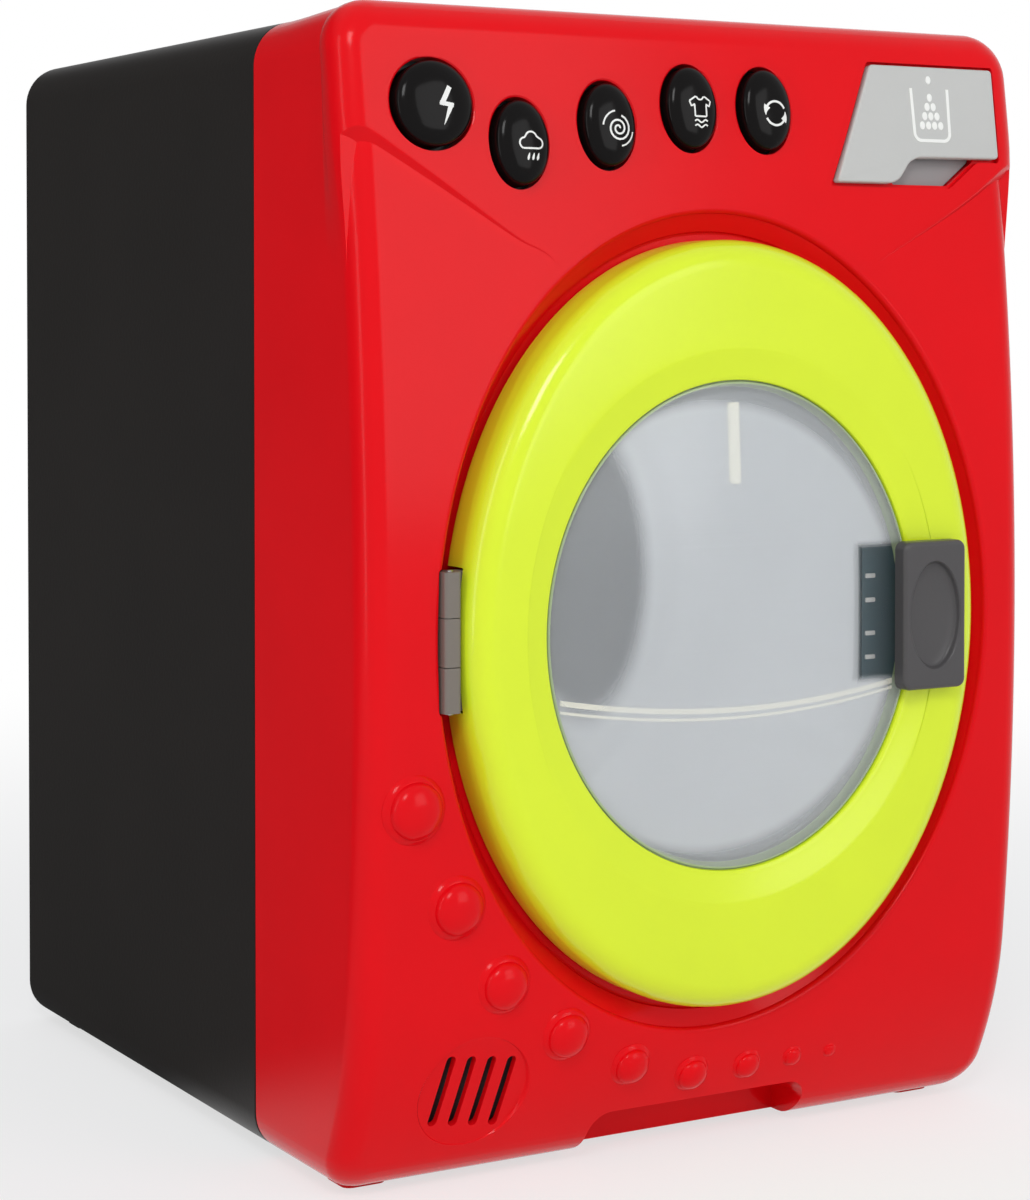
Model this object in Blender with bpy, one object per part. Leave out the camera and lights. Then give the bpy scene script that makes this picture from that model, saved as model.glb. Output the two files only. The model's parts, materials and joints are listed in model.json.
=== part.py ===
"""Toy front-loading washing machine, modelled as the separate pieces it is assembled from.

Metres, +Z up. X runs to the right seen from the front, the front faces -Y, and the machine
stands on Z = 0 with the middle of its box at X = Y = 0.
"""
import math

import bmesh
import bpy
from mathutils import Matrix, Vector

for old in list(bpy.data.objects):
    bpy.data.objects.remove(old, do_unlink=True)

MM = 0.001

# Driving dimensions
BODY_WIDTH = 171 * MM
BODY_HEIGHT = 248 * MM
BODY_DEPTH = 191 * MM
SHELL_WALL = 2.4 * MM
DOOR_PROUD = 9 * MM
HANDLE_PROUD = 4 * MM
TOUCH_GAP = 0.3 * MM
RUN_GAP = 0.5 * MM
OVERRUN = 6 * MM
WELD = 0.001 * MM
SHARP_ANGLE = math.radians(32)
PILOT_SIDES = 8
BOSS_SIDES = 10
ROD_SIDES = 16
DISC_SIDES = 22

REAR_Y = (BODY_DEPTH + DOOR_PROUD + HANDLE_PROUD) / 2
FRONT_PLANE = REAR_Y - BODY_DEPTH
HALF_WIDTH = BODY_WIDTH / 2

# Casing shells
FRONT_SHELL_DEPTH = 49 * MM
FOOT_HEIGHT = 1.5 * MM
TOP_RADIUS = 10 * MM
BOTTOM_RADIUS = 9 * MM
FRONT_EDGE_RADIUS = 6 * MM
REAR_EDGE_RADIUS = 3 * MM
CROWN_HEIGHT = 4 * MM
CROWN_RADIUS = 790 * MM
DOOR_DROP = 6.5 * MM
CROWN_Z = BODY_HEIGHT / 2 - DOOR_DROP
SWEEP_START = 41 * MM
SWEEP_RADIUS = 90 * MM
CORNER_STEPS = 4
EDGE_STEPS = 3
SIDE_STEPS = 8
FACE_ROW_SHARES = (0.8, 0.45)

SEAM_Y = FRONT_PLANE + FRONT_SHELL_DEPTH

# Control panel lobe: the raised upper part of the front, which ends in a crease. Its points are
# shares of the half width and, down from the top, of the panel band.
LOBE_FRONT = 1.8 * MM
LOBE_SIDE = 2.6 * MM
LOBE_TOP = 2.5 * MM
LOBE_WRAP = 10 * MM
PANEL_BAND = 48 * MM
CREASE_SHARES = (
    (-1.1, 0.4775), (-1.0, 0.5025), (-0.93, 0.5625), (-0.78, 0.7275),
    (-0.65, 0.8775), (-0.55, 0.9925), (-0.48, 1.0475), (-0.3, 1.2125),
    (0.38, 1.2125), (0.57, 1.0425), (0.87, 0.7375), (1.1, 0.4125),
)
LOBE_TRIM_SHARE = 1.1
PANEL_DROP = 23 * MM
PANEL_Z = BODY_HEIGHT - PANEL_DROP

# Door place and sizes
DOOR_X = 2.5 * MM
DOOR_Z = CROWN_Z
RING_SIDE_MARGIN = 19.5 * MM
RING_END_MARGIN = 41 * MM
RING_SIDE_BAND = 18.5 * MM
RING_END_BAND = 30.2 * MM
RING_HALF_WIDTH = HALF_WIDTH - RING_SIDE_MARGIN
RING_HALF_HEIGHT = BODY_HEIGHT / 2 - RING_END_MARGIN
GLASS_HALF_WIDTH = RING_HALF_WIDTH - RING_SIDE_BAND
GLASS_HALF_HEIGHT = RING_HALF_HEIGHT - RING_END_BAND
OVAL_SEGMENTS = 40

# Door recess in the front casing
RECESS_GAP = 1.5 * MM
RECESS_SPREAD = 4 * MM
RECESS_TALL = 0.5 * MM
RECESS_FLOOR = 4.5 * MM
RECESS_SLOPE_DEPTH = 8.5 * MM
MOUTH_SIDE_BAND = 11 * MM
MOUTH_END_BAND = 14 * MM
MOUTH_HALF_WIDTH = RING_HALF_WIDTH - MOUTH_SIDE_BAND
MOUTH_HALF_HEIGHT = RING_HALF_HEIGHT - MOUTH_END_BAND
SURROUND_WALL = 2.5 * MM

FLOOR_FRONT = FRONT_PLANE + RECESS_FLOOR
FLOOR_REAR = FLOOR_FRONT + SHELL_WALL

# Bubbles on the lower left of the front: place and diameter as shares
BUBBLE_HEIGHT_SHARE = 0.13
BUBBLE_SIDES = 12
BUBBLE_SHARES = (
    (-0.865, 0.3376, 0.0705), (-0.742, 0.2515, 0.066), (-0.601, 0.1808, 0.061),
    (-0.412, 0.1285, 0.0567), (-0.205, 0.0908, 0.048), (-0.009, 0.0724, 0.042),
    (0.162, 0.0724, 0.035), (0.307, 0.0734, 0.0246), (0.427, 0.0734, 0.0164),
)

# Base notch under the front
NOTCH_WIDTH = 57 * MM
NOTCH_X = 4 * MM
NOTCH_HEIGHT = 11.5 * MM
NOTCH_DEPTH = 9 * MM
NOTCH_WALL = 1.6 * MM

# Foot pads moulded under both shells
FOOT_SIZE = 10 * MM
FOOT_INSET = 13 * MM

# Casing screws, in long wells through the rear shell
POST_SIDE_INSET = 9 * MM
POST_TOP_INSET = 46 * MM
POST_X = HALF_WIDTH - POST_SIDE_INSET
UPPER_POST_Z = BODY_HEIGHT - POST_TOP_INSET
LOWER_POST_Z = 21 * MM
POST_RADIUS = 4.2 * MM
WELL_RADIUS = 3 * MM
WELL_FLOOR = 5 * MM
RIB_THICKNESS = 1.6 * MM
FRONT_BOSS_DEPTH = 20 * MM
SCREW_HEAD_RADIUS = 2.5 * MM
SCREW_HEAD_HEIGHT = 1.8 * MM
SCREW_SHANK_RADIUS = 1.3 * MM
CASING_SCREW_LENGTH = 17 * MM

# Speaker and its grille
SPEAKER_SIDE_INSET = 29.5 * MM
SPEAKER_X = SPEAKER_SIDE_INSET - HALF_WIDTH
SPEAKER_Z = 21.5 * MM
GRILLE_RADIUS = 13 * MM
GRILLE_SINK = 1 * MM
SLOT_WIDTH = 2.2 * MM
SLOT_LENGTH = 15 * MM
SLOT_PITCH = 5 * MM
SLOT_COUNT = 4
SLOT_LEAN = math.radians(8)
SPEAKER_RADIUS = 12 * MM
SPEAKER_DEPTH = 7 * MM
SPEAKER_RIM = 1.2 * MM
SPEAKER_STANDOFF = 1 * MM
SPEAKER_BASKET_RADIUS = 9.5 * MM
SPEAKER_FRONT = SHELL_WALL + SPEAKER_STANDOFF + TOUCH_GAP
SPEAKER_SEAT = SPEAKER_FRONT + SPEAKER_RIM
MAGNET_RADIUS = 6.5 * MM
CLAMP_THICKNESS = 1.6 * MM
CLAMP_EAR_REACH = 16.5 * MM
CLAMP_EAR_RADIUS = 3.2 * MM
SMALL_BOSS_RADIUS = 2.4 * MM
SMALL_SCREW_HEAD_RADIUS = 2 * MM
SMALL_SCREW_HEAD_HEIGHT = 1.3 * MM
SMALL_SHANK_RADIUS = 0.9 * MM
SMALL_SCREW_LENGTH = 5 * MM

# Buttons: their places are shares of the half width and, from PANEL_Z, of the panel band
BUTTON_PITCH_SHARE = 0.25
BUTTON_SPACE = 8.575 * MM
BUTTON_PITCH = BUTTON_PITCH_SHARE * HALF_WIDTH
OVAL_BUTTON_HALF_WIDTH = (BUTTON_PITCH - BUTTON_SPACE) / 2
OVAL_BUTTON_HALF_HEIGHT = 8.9 * MM
ROUND_BUTTON_EXTRA = 2.5 * MM
ROUND_BUTTON_HALF = OVAL_BUTTON_HALF_WIDTH + ROUND_BUTTON_EXTRA
BUTTONS = (
    ("button_power", -0.784, 0.0565, ROUND_BUTTON_HALF, ROUND_BUTTON_HALF),
    ("button_rinse", -0.547, -0.102, OVAL_BUTTON_HALF_WIDTH, OVAL_BUTTON_HALF_HEIGHT),
    ("button_spin", -0.294, -0.0105, OVAL_BUTTON_HALF_WIDTH, OVAL_BUTTON_HALF_HEIGHT),
    ("button_dry", -0.046, 0.0815, OVAL_BUTTON_HALF_WIDTH, OVAL_BUTTON_HALF_HEIGHT),
    ("button_cycle", 0.185, 0.0855, OVAL_BUTTON_HALF_WIDTH, OVAL_BUTTON_HALF_HEIGHT),
)
BUTTON_TRAVEL = 1.5 * MM
BUTTON_HOLE_GAP = 0.8 * MM
BUTTON_DOME = 2.4 * MM
BUTTON_RIM = 0.8 * MM
BUTTON_FLANGE = 1.3 * MM
BUTTON_DOME_SHARES = ((1.0, 0.0), (0.92, 0.48), (0.72, 0.8), (0.4, 0.96), (0.0, 1.0))
BUTTON_SEGMENTS = 20
PAD_SHEET = 1 * MM
PAD_DOME_RADIUS = 3.4 * MM
BOARD_THICKNESS = 1.6 * MM
BOARD_SIDE_INSET = 8.5 * MM
BOARD_DRAWER_GAP = 8.5 * MM
BOARD_BOTTOM = -13 * MM
BOARD_TOP = 16 * MM
BOARD_SCREW_SHARES = ((-0.667, 0.2665), (-0.17, -0.198))

# Detergent drawer: plate outlines as shares of its width and height
DRAWER_LEFT = 34 * MM
DRAWER_RIGHT_INSET = 5 * MM
DRAWER_TOP_INSET = 7.3 * MM
DRAWER_HEIGHT = 27 * MM
DRAWER_WIDTH = HALF_WIDTH - DRAWER_RIGHT_INSET - DRAWER_LEFT
DRAWER_BOTTOM = BODY_HEIGHT - DRAWER_TOP_INSET - DRAWER_HEIGHT
BOARD_LEFT = BOARD_SIDE_INSET - HALF_WIDTH
BOARD_RIGHT = DRAWER_LEFT - BOARD_DRAWER_GAP
PLATE_THICKNESS = 2 * MM
PLATE_SHARES = (
    (0.0, 0.0), (0.33, 0.0), (0.375, 0.03), (0.41, 0.1), (0.445, 0.18), (0.5, 0.222),
    (1.0, 0.23), (1.0, 1.0), (0.25, 1.0),
)
POCKET_SHARES = (
    (-0.022, -0.03), (0.7, -0.03), (0.875, 0.2), (1.013, 0.2), (1.013, 1.025), (0.238, 1.025),
)
POCKET_DEPTH = 1.6 * MM
SCOOP_LEFT_SHARE = 0.36
SCOOP_RIGHT_SHARE = 0.76
SCOOP_TOP_SHARE = 0.34
SCOOP_DEPTH = 4.3 * MM
TRAY_LEFT_MARGIN = 13 * MM
TRAY_RIGHT_MARGIN = 5 * MM
TRAY_WIDTH = DRAWER_WIDTH - TRAY_LEFT_MARGIN - TRAY_RIGHT_MARGIN
TRAY_HEIGHT = 15 * MM
TRAY_LENGTH = 38 * MM
TRAY_WALL = 1.5 * MM
TRAY_BOTTOM_SHARE = 0.31
HOUSING_WALL = 1.4 * MM
HOUSING_DEPTH = 7.15 * MM

# Door ring section: outer side, shoulder, face and inner lip
RING_WALL = 2.4 * MM
RING_BASE_GAP = 0.5 * MM
SHOULDER = 6 * MM
LIP_DROP = 1.2 * MM
LIP_THICKNESS = 1.4 * MM
WINDOW_THICKNESS = 1.8 * MM
WINDOW_BULGE = 1.8 * MM
WINDOW_FLANGE = 2 * MM
WINDOW_ROW_SHARES = (0, 0.3, 0.58, 0.82)
RETAINER_THICKNESS = 2 * MM
RETAINER_STEP = 1 * MM
COLLAR_WALL = 1.6 * MM
DOOR_SCREW_ACROSS_SHARE = 0.64
DOOR_SCREW_UP_SHARE = 0.6
DOOR_SCREW_LENGTH = 5.2 * MM

RING_FRONT = FRONT_PLANE - DOOR_PROUD
RING_BASE = FLOOR_FRONT - RING_BASE_GAP
RETAINER_REAR = RING_BASE - RETAINER_STEP
RETAINER_FRONT = RETAINER_REAR - RETAINER_THICKNESS

# Hinge at the left of the door
HINGE_STANDOFF = 2.5 * MM
HINGE_PROUD = 3.5 * MM
KNUCKLE_RADIUS = 2.2 * MM
HINGE_PIN_RADIUS = 0.9 * MM
HINGE_HEIGHT = 29 * MM
CENTRE_KNUCKLE = 10 * MM
LEAF_THICKNESS = 3.2 * MM
LEAF_REACH = 15 * MM
HINGE_POCKET_LEFT = 5.2 * MM
BRACKET_THICKNESS = 2.2 * MM
BRACKET_SLOT_GAP = 0.3 * MM

HINGE_X = DOOR_X - RING_HALF_WIDTH - HINGE_STANDOFF
HINGE_Y = FRONT_PLANE - HINGE_PROUD

# Latch at the right of the door
HANDLE_INSET = 7.7 * MM
HANDLE_WIDTH = 17.2 * MM
HANDLE_LEFT = DOOR_X + RING_HALF_WIDTH - HANDLE_INSET - HANDLE_WIDTH
HANDLE_HEIGHT = 33 * MM
HANDLE_EDGE = 1.6 * MM
DISH_HALF_WIDTH = 5.2 * MM
DISH_HALF_HEIGHT = 11 * MM
DISH_DEPTH = 1.8 * MM
LATCH_TRAVEL = 3 * MM
NECK_WIDTH = 4 * MM
NECK_HEIGHT = 12 * MM
NECK_RIGHT_INSET = 1.4 * MM
LATCH_HOUSING_LEAD = 5.1 * MM
LATCH_HOUSING_LEFT = HANDLE_LEFT - LATCH_HOUSING_LEAD
LATCH_HOUSING_HEIGHT = 30 * MM
LATCH_HOUSING_WALL = 1.3 * MM
BOLT_THICKNESS = 1.8 * MM
BOLT_LEG = 3.6 * MM
BOLT_NOSE = 2.4 * MM
SPRING_RADIUS = 0.8 * MM
SPRING_WIRE_RADIUS = 0.2 * MM
SPRING_TURNS = 5
SPRING_STEPS = 8

# Drum, tub and drive
DRUM_SIDE_GAP = 3 * MM
DRUM_WALL = 1.8 * MM
DRIVE_SPACE = 79 * MM
DRUM_LENGTH = BODY_DEPTH - DRIVE_SPACE
DRUM_LIP = 2.2 * MM
LIFTER_COUNT = 3
LIFTER_HEIGHT = 9 * MM
LIFTER_WIDTH = 12 * MM
LIFTER_LENGTH_SHARE = 0.8
TUB_SIDE_GAP = 9.5 * MM
TUB_WALL = 2 * MM
TUB_RADIUS = HALF_WIDTH - TUB_SIDE_GAP
DRUM_RADIUS = TUB_RADIUS - TUB_WALL - DRUM_SIDE_GAP
TUB_EAR_ANGLE = math.radians(25)
TUB_EAR_RADIUS = 4 * MM
TUB_EAR_THICKNESS = 2 * MM
TUB_SCREW_LENGTH = 9 * MM
TUB_BOSS_LENGTH = 10 * MM
SHAFT_RADIUS = 3 * MM
DRUM_HUB_RADIUS = 9 * MM
DRUM_HUB_LENGTH = 6 * MM
BEARING_RADIUS = 6 * MM
BEARING_LENGTH = 6 * MM
TUB_HUB_RADIUS = 9 * MM
DRUM_SEGMENTS = 30
GEAR_MODULE = 1.25 * MM
GEAR_TEETH = 48
PINION_TEETH = 12
GEAR_PRESSURE_ANGLE = math.radians(25)
GEAR_BACKLASH = 0.35 * MM
GEAR_ROOT_GAP = 0.3 * MM
ADDENDUM_SHARE = 0.8
GEAR_WIDTH = 6 * MM
FLANK_STEPS = 1
CLIP_THICKNESS = 0.8 * MM
MOTOR_ANGLE = math.radians(45)
MOTOR_RADIUS = 11 * MM
MOTOR_LENGTH = 26 * MM
MOTOR_FLAT_SHARE = 0.8
MOTOR_COLLAR = 3.5 * MM
MOTOR_SHAFT_RADIUS = 1.2 * MM
MOTOR_MOUNT_REACH = 16 * MM
MOTOR_POST_RADIUS = 3 * MM
MOTOR_PLATE = 2 * MM

TUB_FRONT = FLOOR_REAR + TOUCH_GAP
DRUM_FRONT = TUB_FRONT + TUB_WALL + RUN_GAP
TUB_REAR = DRUM_FRONT + DRUM_LENGTH + DRUM_HUB_LENGTH + RUN_GAP
TUB_REAR_END = TUB_REAR + TOUCH_GAP + TUB_WALL
TUB_HUB_REAR = TUB_REAR_END + BEARING_LENGTH - TUB_WALL
GEAR_START = TUB_HUB_REAR + 2 * RUN_GAP

# Batteries at the rear, upright side by side
CELL_RADIUS = 7.1 * MM
CELL_LENGTH = 48.5 * MM
CELL_TIP_RADIUS = 2.7 * MM
CELL_TIP_LENGTH = 1.2 * MM
CELL_PITCH = 15.4 * MM
CELL_COUNT = 3
BATTERY_BOX_WALL = 1.6 * MM
BATTERY_BOX_BOTTOM = 24 * MM
CONTACT_THICKNESS = 0.5 * MM
CONTACT_SPACE = 1.8 * MM
COVER_TAB = 7 * MM
COVER_EDGE = 2.6 * MM
COVER_SCREW_LENGTH = 7 * MM
COVER_GRIP_COUNT = 4
COVER_GRIP_PITCH = 3.2 * MM
COVER_GRIP_WIDTH = 18 * MM
COVER_GRIP_DEPTH = 0.8 * MM

BOX_INNER_WIDTH = CELL_COUNT * CELL_PITCH + 2 * TOUCH_GAP
BOX_INNER_DEPTH = 2 * (CELL_RADIUS + RUN_GAP)
BOX_INNER_HEIGHT = CELL_LENGTH + CELL_TIP_LENGTH + 2 * CONTACT_SPACE
COVER_WIDTH = BOX_INNER_WIDTH + 2 * COVER_EDGE
COVER_BOTTOM = BATTERY_BOX_BOTTOM + BATTERY_BOX_WALL / 2
COVER_HEIGHT = BOX_INNER_HEIGHT + BATTERY_BOX_WALL + COVER_TAB


def material(name, colour, roughness, metallic=0.0):
    """A Principled material with one colour."""
    made = bpy.data.materials.new(name)
    made.use_nodes = True
    shader = made.node_tree.nodes["Principled BSDF"]
    shader.inputs["Base Color"].default_value = (*colour, 1.0)
    shader.inputs["Roughness"].default_value = roughness
    shader.inputs["Metallic"].default_value = metallic
    made.diffuse_color = (*colour, 1.0)
    return made


RED = material("red_plastic", (0.76, 0.02, 0.035), 0.22)
DARK = material("dark_plastic", (0.025, 0.02, 0.018), 0.3)
LIME = material("lime_plastic", (0.72, 0.86, 0.06), 0.28)
SMOKE = material("smoky_window", (0.42, 0.48, 0.55), 0.12)
GREY = material("grey_plastic", (0.1, 0.1, 0.095), 0.4)
LIGHT_GREY = material("light_grey_plastic", (0.58, 0.58, 0.56), 0.38)
HINGE_GREY = material("hinge_grey_plastic", (0.3, 0.3, 0.28), 0.42)
BLACK = material("black_button_plastic", (0.02, 0.02, 0.02), 0.18)
WHITE = material("drum_white_plastic", (0.62, 0.65, 0.68), 0.4)
STEEL = material("steel", (0.6, 0.6, 0.6), 0.3, 1.0)
BRASS = material("bronze_bush", (0.6, 0.4, 0.18), 0.35, 1.0)
RUBBER = material("silicone_rubber", (0.12, 0.12, 0.13), 0.7)
BOARD_GREEN = material("board_green", (0.02, 0.16, 0.06), 0.45)
CELL = material("battery_jacket", (0.05, 0.12, 0.3), 0.35, 0.4)
PAPER = material("speaker_cone", (0.03, 0.03, 0.03), 0.8)


def front_y(z):
    """The front surface's Y at a height: a gentle crown that sweeps under at the bottom."""
    y = FRONT_PLANE - CROWN_HEIGHT + (z - CROWN_Z) ** 2 / (2 * CROWN_RADIUS)
    if z < SWEEP_START:
        y += (SWEEP_START - z) ** 2 / (2 * SWEEP_RADIUS)
    return y


def front_tilt(z):
    """The angle by which the front surface leans back (+) or under (-) at a height."""
    slope = (z - CROWN_Z) / CROWN_RADIUS
    if z < SWEEP_START:
        slope -= (SWEEP_START - z) / SWEEP_RADIUS
    return math.atan(slope)


def surface_frame(x, z, proud):
    """A frame on the front surface: its Y points into the body, its Z up along the surface."""
    place = Matrix.Translation((x, front_y(z) - proud, z))
    return place @ Matrix.Rotation(-front_tilt(z), 4, "X")


PANEL = surface_frame(0, PANEL_Z, LOBE_FRONT)
SPEAKER = surface_frame(SPEAKER_X, SPEAKER_Z, 0)


def to_mesh(shape, name):
    """Writes a bmesh into a mesh with its faces pointing out."""
    bmesh.ops.remove_doubles(shape, verts=shape.verts, dist=WELD)
    bmesh.ops.recalc_face_normals(shape, faces=shape.faces)
    mesh = bpy.data.meshes.new(name)
    shape.to_mesh(mesh)
    shape.free()
    return mesh


def piece(name, shape, look, pivot=(0, 0, 0)):
    """One named piece, shaped in world coordinates, with its origin moved to the pivot."""
    shape.transform(Matrix.Translation(-Vector(pivot)))
    made = bpy.data.objects.new(name, to_mesh(shape, name))
    made.location = pivot
    made.data.materials.append(look)
    made.data.shade_smooth()
    made.data.set_sharp_from_angle(angle=SHARP_ANGLE)
    bpy.context.collection.objects.link(made)
    return made


def tool(shape):
    """A hidden solid that cuts or extends a piece."""
    made = bpy.data.objects.new("tool", to_mesh(shape, "tool"))
    made.hide_render = True
    made.display_type = "WIRE"
    bpy.context.collection.objects.link(made)
    return made


def combine(target, operation, shapes):
    """Adds one exact Boolean for each shape to the piece."""
    for shape in shapes:
        step = target.modifiers.new(operation.lower(), "BOOLEAN")
        step.operation = operation
        step.solver = "EXACT"
        step.object = tool(shape)


def cut(target, *shapes):
    """Cuts the shapes out of the piece."""
    combine(target, "DIFFERENCE", shapes)


def join(target, *shapes):
    """Makes the shapes one solid with the piece."""
    combine(target, "UNION", shapes)


def block(low, high):
    """A box between two opposite corners."""
    shape = bmesh.new()
    size = Vector(high) - Vector(low)
    middle = (Vector(high) + Vector(low)) / 2
    scale = Matrix.Diagonal((*size, 1))
    bmesh.ops.create_cube(shape, size=1, matrix=Matrix.Translation(middle) @ scale)
    return shape


def soft_block(low, high, radius, axis, segments=3):
    """A box whose four edges along one axis are rounded."""
    shape = block(low, high)
    direction = Vector((axis == "X", axis == "Y", axis == "Z"))
    edges = [
        edge for edge in shape.edges
        if abs((edge.verts[0].co - edge.verts[1].co).normalized().dot(direction)) > 0.9
    ]
    bmesh.ops.bevel(shape, geom=edges, offset=radius, segments=segments, profile=0.5,
                    affect="EDGES")
    return shape


def rod(x, z, radius, start, end, segments=ROD_SIDES):
    """A cylinder along Y between two depths."""
    shape = bmesh.new()
    turn = Matrix.Rotation(math.radians(90), 4, "X")
    middle = Matrix.Translation((x, (start + end) / 2, z))
    bmesh.ops.create_cone(shape, cap_ends=True, segments=segments, radius1=radius,
                          radius2=radius, depth=abs(end - start), matrix=middle @ turn)
    return shape


def upright_rod(x, y, radius, bottom, top, segments=ROD_SIDES):
    """A cylinder along Z between two heights."""
    shape = bmesh.new()
    middle = Matrix.Translation((x, y, (bottom + top) / 2))
    bmesh.ops.create_cone(shape, cap_ends=True, segments=segments, radius1=radius,
                          radius2=radius, depth=top - bottom, matrix=middle)
    return shape


def skin(rows, looped):
    """Joins rows of points with faces: looped rows close on themselves, others get end caps."""
    shape = bmesh.new()
    made = [[shape.verts.new(point) for point in row] for row in rows]
    pairs = list(zip(made, made[1:]))
    if looped:
        pairs.append((made[-1], made[0]))
    for lower, upper in pairs:
        count = max(len(lower), len(upper))
        for index in range(count):
            after = (index + 1) % count
            if len(upper) == 1:
                shape.faces.new((lower[index], lower[after], upper[0]))
            elif len(lower) == 1:
                shape.faces.new((lower[0], upper[after], upper[index]))
            else:
                shape.faces.new((lower[index], lower[after], upper[after], upper[index]))
    if not looped:
        for row in (made[0], made[-1]):
            if len(row) > 2:
                shape.faces.new(row)
    return shape


def oval_points(x, z, half_width, half_height, y, segments):
    """Points round an oval at one depth, or one point where the oval has no size."""
    if half_width == 0:
        return [(x, y, z)]
    return [
        (x + half_width * math.cos(angle), y, z + half_height * math.sin(angle))
        for angle in (2 * math.pi * step / segments for step in range(segments))
    ]


def oval(x, z, rings, looped=False, segments=OVAL_SEGMENTS):
    """A solid through ovals, each given as half width, half height and depth."""
    rows = [oval_points(x, z, wide, tall, y, segments) for wide, tall, y in rings]
    return skin(rows, looped)


def turned(x, z, profile, looped=False, segments=DRUM_SEGMENTS):
    """A solid of circles about an axis along Y, each given as radius and depth."""
    return oval(x, z, [(radius, radius, y) for radius, y in profile], looped, segments)


def prism(points, start, end):
    """An outline of (x, z) points carried along Y."""
    return skin([[(x, y, z) for x, z in points] for y in (start, end)], False)


def screw(name, frame, head_radius, head_height, shank_radius, length):
    """A pan-head screw: its head stands on the frame's plane and its shank runs along -Y."""
    shape = turned(0, 0, (
        (0, head_height), (head_radius, head_height * 0.6), (head_radius, 0),
        (shank_radius, 0), (shank_radius, shank_radius - length), (0, -length),
    ), segments=PILOT_SIDES)
    shape.transform(frame)
    return piece(name, shape, STEEL)


def section(grow_side, bottom, top, top_radius, bottom_radius):
    """The casing's rounded outline in X and Z, with extra points up its sides."""
    half = HALF_WIDTH + grow_side
    corners = (
        (half - top_radius, top - top_radius, top_radius, 0),
        (top_radius - half, top - top_radius, top_radius, 90),
        (bottom_radius - half, bottom + bottom_radius, bottom_radius, 180),
        (half - bottom_radius, bottom + bottom_radius, bottom_radius, 270),
    )
    points = []
    for x, z, radius, start in corners:
        for step in range(CORNER_STEPS + 1):
            angle = math.radians(start + 90 * step / CORNER_STEPS)
            points.append((x + radius * math.cos(angle), z + radius * math.sin(angle)))
        low = bottom + bottom_radius
        rise = top - top_radius - low
        if start == 90:
            points += [(-half, low + rise * (SIDE_STEPS - k) / SIDE_STEPS)
                       for k in range(1, SIDE_STEPS)]
        if start == 270:
            points += [(half, low + rise * k / SIDE_STEPS) for k in range(1, SIDE_STEPS)]
    return points


def casing_solid(inset, open_y, facing, edge_radius, grow=(0, 0, 0)):
    """A solid body half: the section swept from open_y to a rounded, crowned or flat face."""
    side, top, front = grow
    rows = []

    def outline(shrink):
        low = FOOT_HEIGHT + inset + shrink
        high = BODY_HEIGHT + top - inset - shrink
        return section(side - inset - shrink, low, high, TOP_RADIUS - inset - shrink,
                       BOTTOM_RADIUS - inset - shrink)

    def face(z):
        if facing == "front":
            return front_y(z) - front + inset
        return REAR_Y - inset

    inward = 1 if facing == "front" else -1
    rows.append([(x, open_y, z) for x, z in outline(0)])
    for step in range(EDGE_STEPS + 1):
        angle = math.radians(90 * step / EDGE_STEPS)
        shrink = edge_radius * (1 - math.cos(angle))
        back = inward * edge_radius * (1 - math.sin(angle))
        rows.append([(x, face(z) + back, z) for x, z in outline(shrink)])
    if facing == "front":
        rim = outline(edge_radius)
        for share in FACE_ROW_SHARES:
            rows.append([(x * share, face(CROWN_Z + (z - CROWN_Z) * share),
                          CROWN_Z + (z - CROWN_Z) * share) for x, z in rim])
        rows.append([(0, face(CROWN_Z), CROWN_Z)])
    return skin(rows, False)


def foot(x, y):
    """One foot pad: a low block that stands on the floor."""
    return soft_block((x - FOOT_SIZE / 2, y - FOOT_SIZE / 2, 0),
                      (x + FOOT_SIZE / 2, y + FOOT_SIZE / 2, FOOT_HEIGHT + SHELL_WALL / 2),
                      FOOT_SIZE / 5, "Z")


def post_places():
    """The four places of the casing screws, each with the side wall's direction."""
    return [(side * POST_X, z, side) for z in (UPPER_POST_Z, LOWER_POST_Z) for side in (-1, 1)]


def recess_shape():
    """The dished space round the door, from the floor out past the front."""
    slope = RECESS_SPREAD / RECESS_SLOPE_DEPTH
    reach = RECESS_SLOPE_DEPTH + LOBE_FRONT + OVERRUN
    wide = RING_HALF_WIDTH + RECESS_GAP
    tall = RING_HALF_HEIGHT + RECESS_GAP + RECESS_TALL
    return oval(DOOR_X, DOOR_Z, (
        (wide, tall, FLOOR_FRONT),
        (wide + slope * reach, tall + slope * reach, FLOOR_FRONT - reach),
    ))


def button_hole(name_place):
    """The through hole for one button, in the panel's own frame."""
    _, across, up, half_width, half_height = name_place
    shape = oval(across * HALF_WIDTH, up * PANEL_BAND, (
        (half_width + BUTTON_HOLE_GAP, half_height + BUTTON_HOLE_GAP, -OVERRUN),
        (half_width + BUTTON_HOLE_GAP, half_height + BUTTON_HOLE_GAP, OVERRUN + LOBE_FRONT),
    ), segments=BUTTON_SEGMENTS)
    shape.transform(PANEL)
    return shape


def drawer_outline(shares):
    """Points of a drawer outline in the panel's frame."""
    return [(DRAWER_LEFT + across * DRAWER_WIDTH, DRAWER_BOTTOM + up * DRAWER_HEIGHT - PANEL_Z)
            for across, up in shares]


def panel_prism(points, start, end):
    """An outline carried into the panel."""
    shape = prism(points, start, end)
    shape.transform(PANEL)
    return shape


TRAY_LEFT = DRAWER_LEFT + TRAY_LEFT_MARGIN
TRAY_BOTTOM = DRAWER_BOTTOM + TRAY_BOTTOM_SHARE * DRAWER_HEIGHT
PANEL_WALL = SHELL_WALL + LOBE_FRONT


def housing_start():
    """Where the drawer housing starts: under the panel's surface at the housing's top edge."""
    top = TRAY_BOTTOM + TRAY_HEIGHT + RUN_GAP + HOUSING_WALL
    return (PANEL @ Vector((0, HOUSING_DEPTH, top - PANEL_Z))).y


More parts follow.
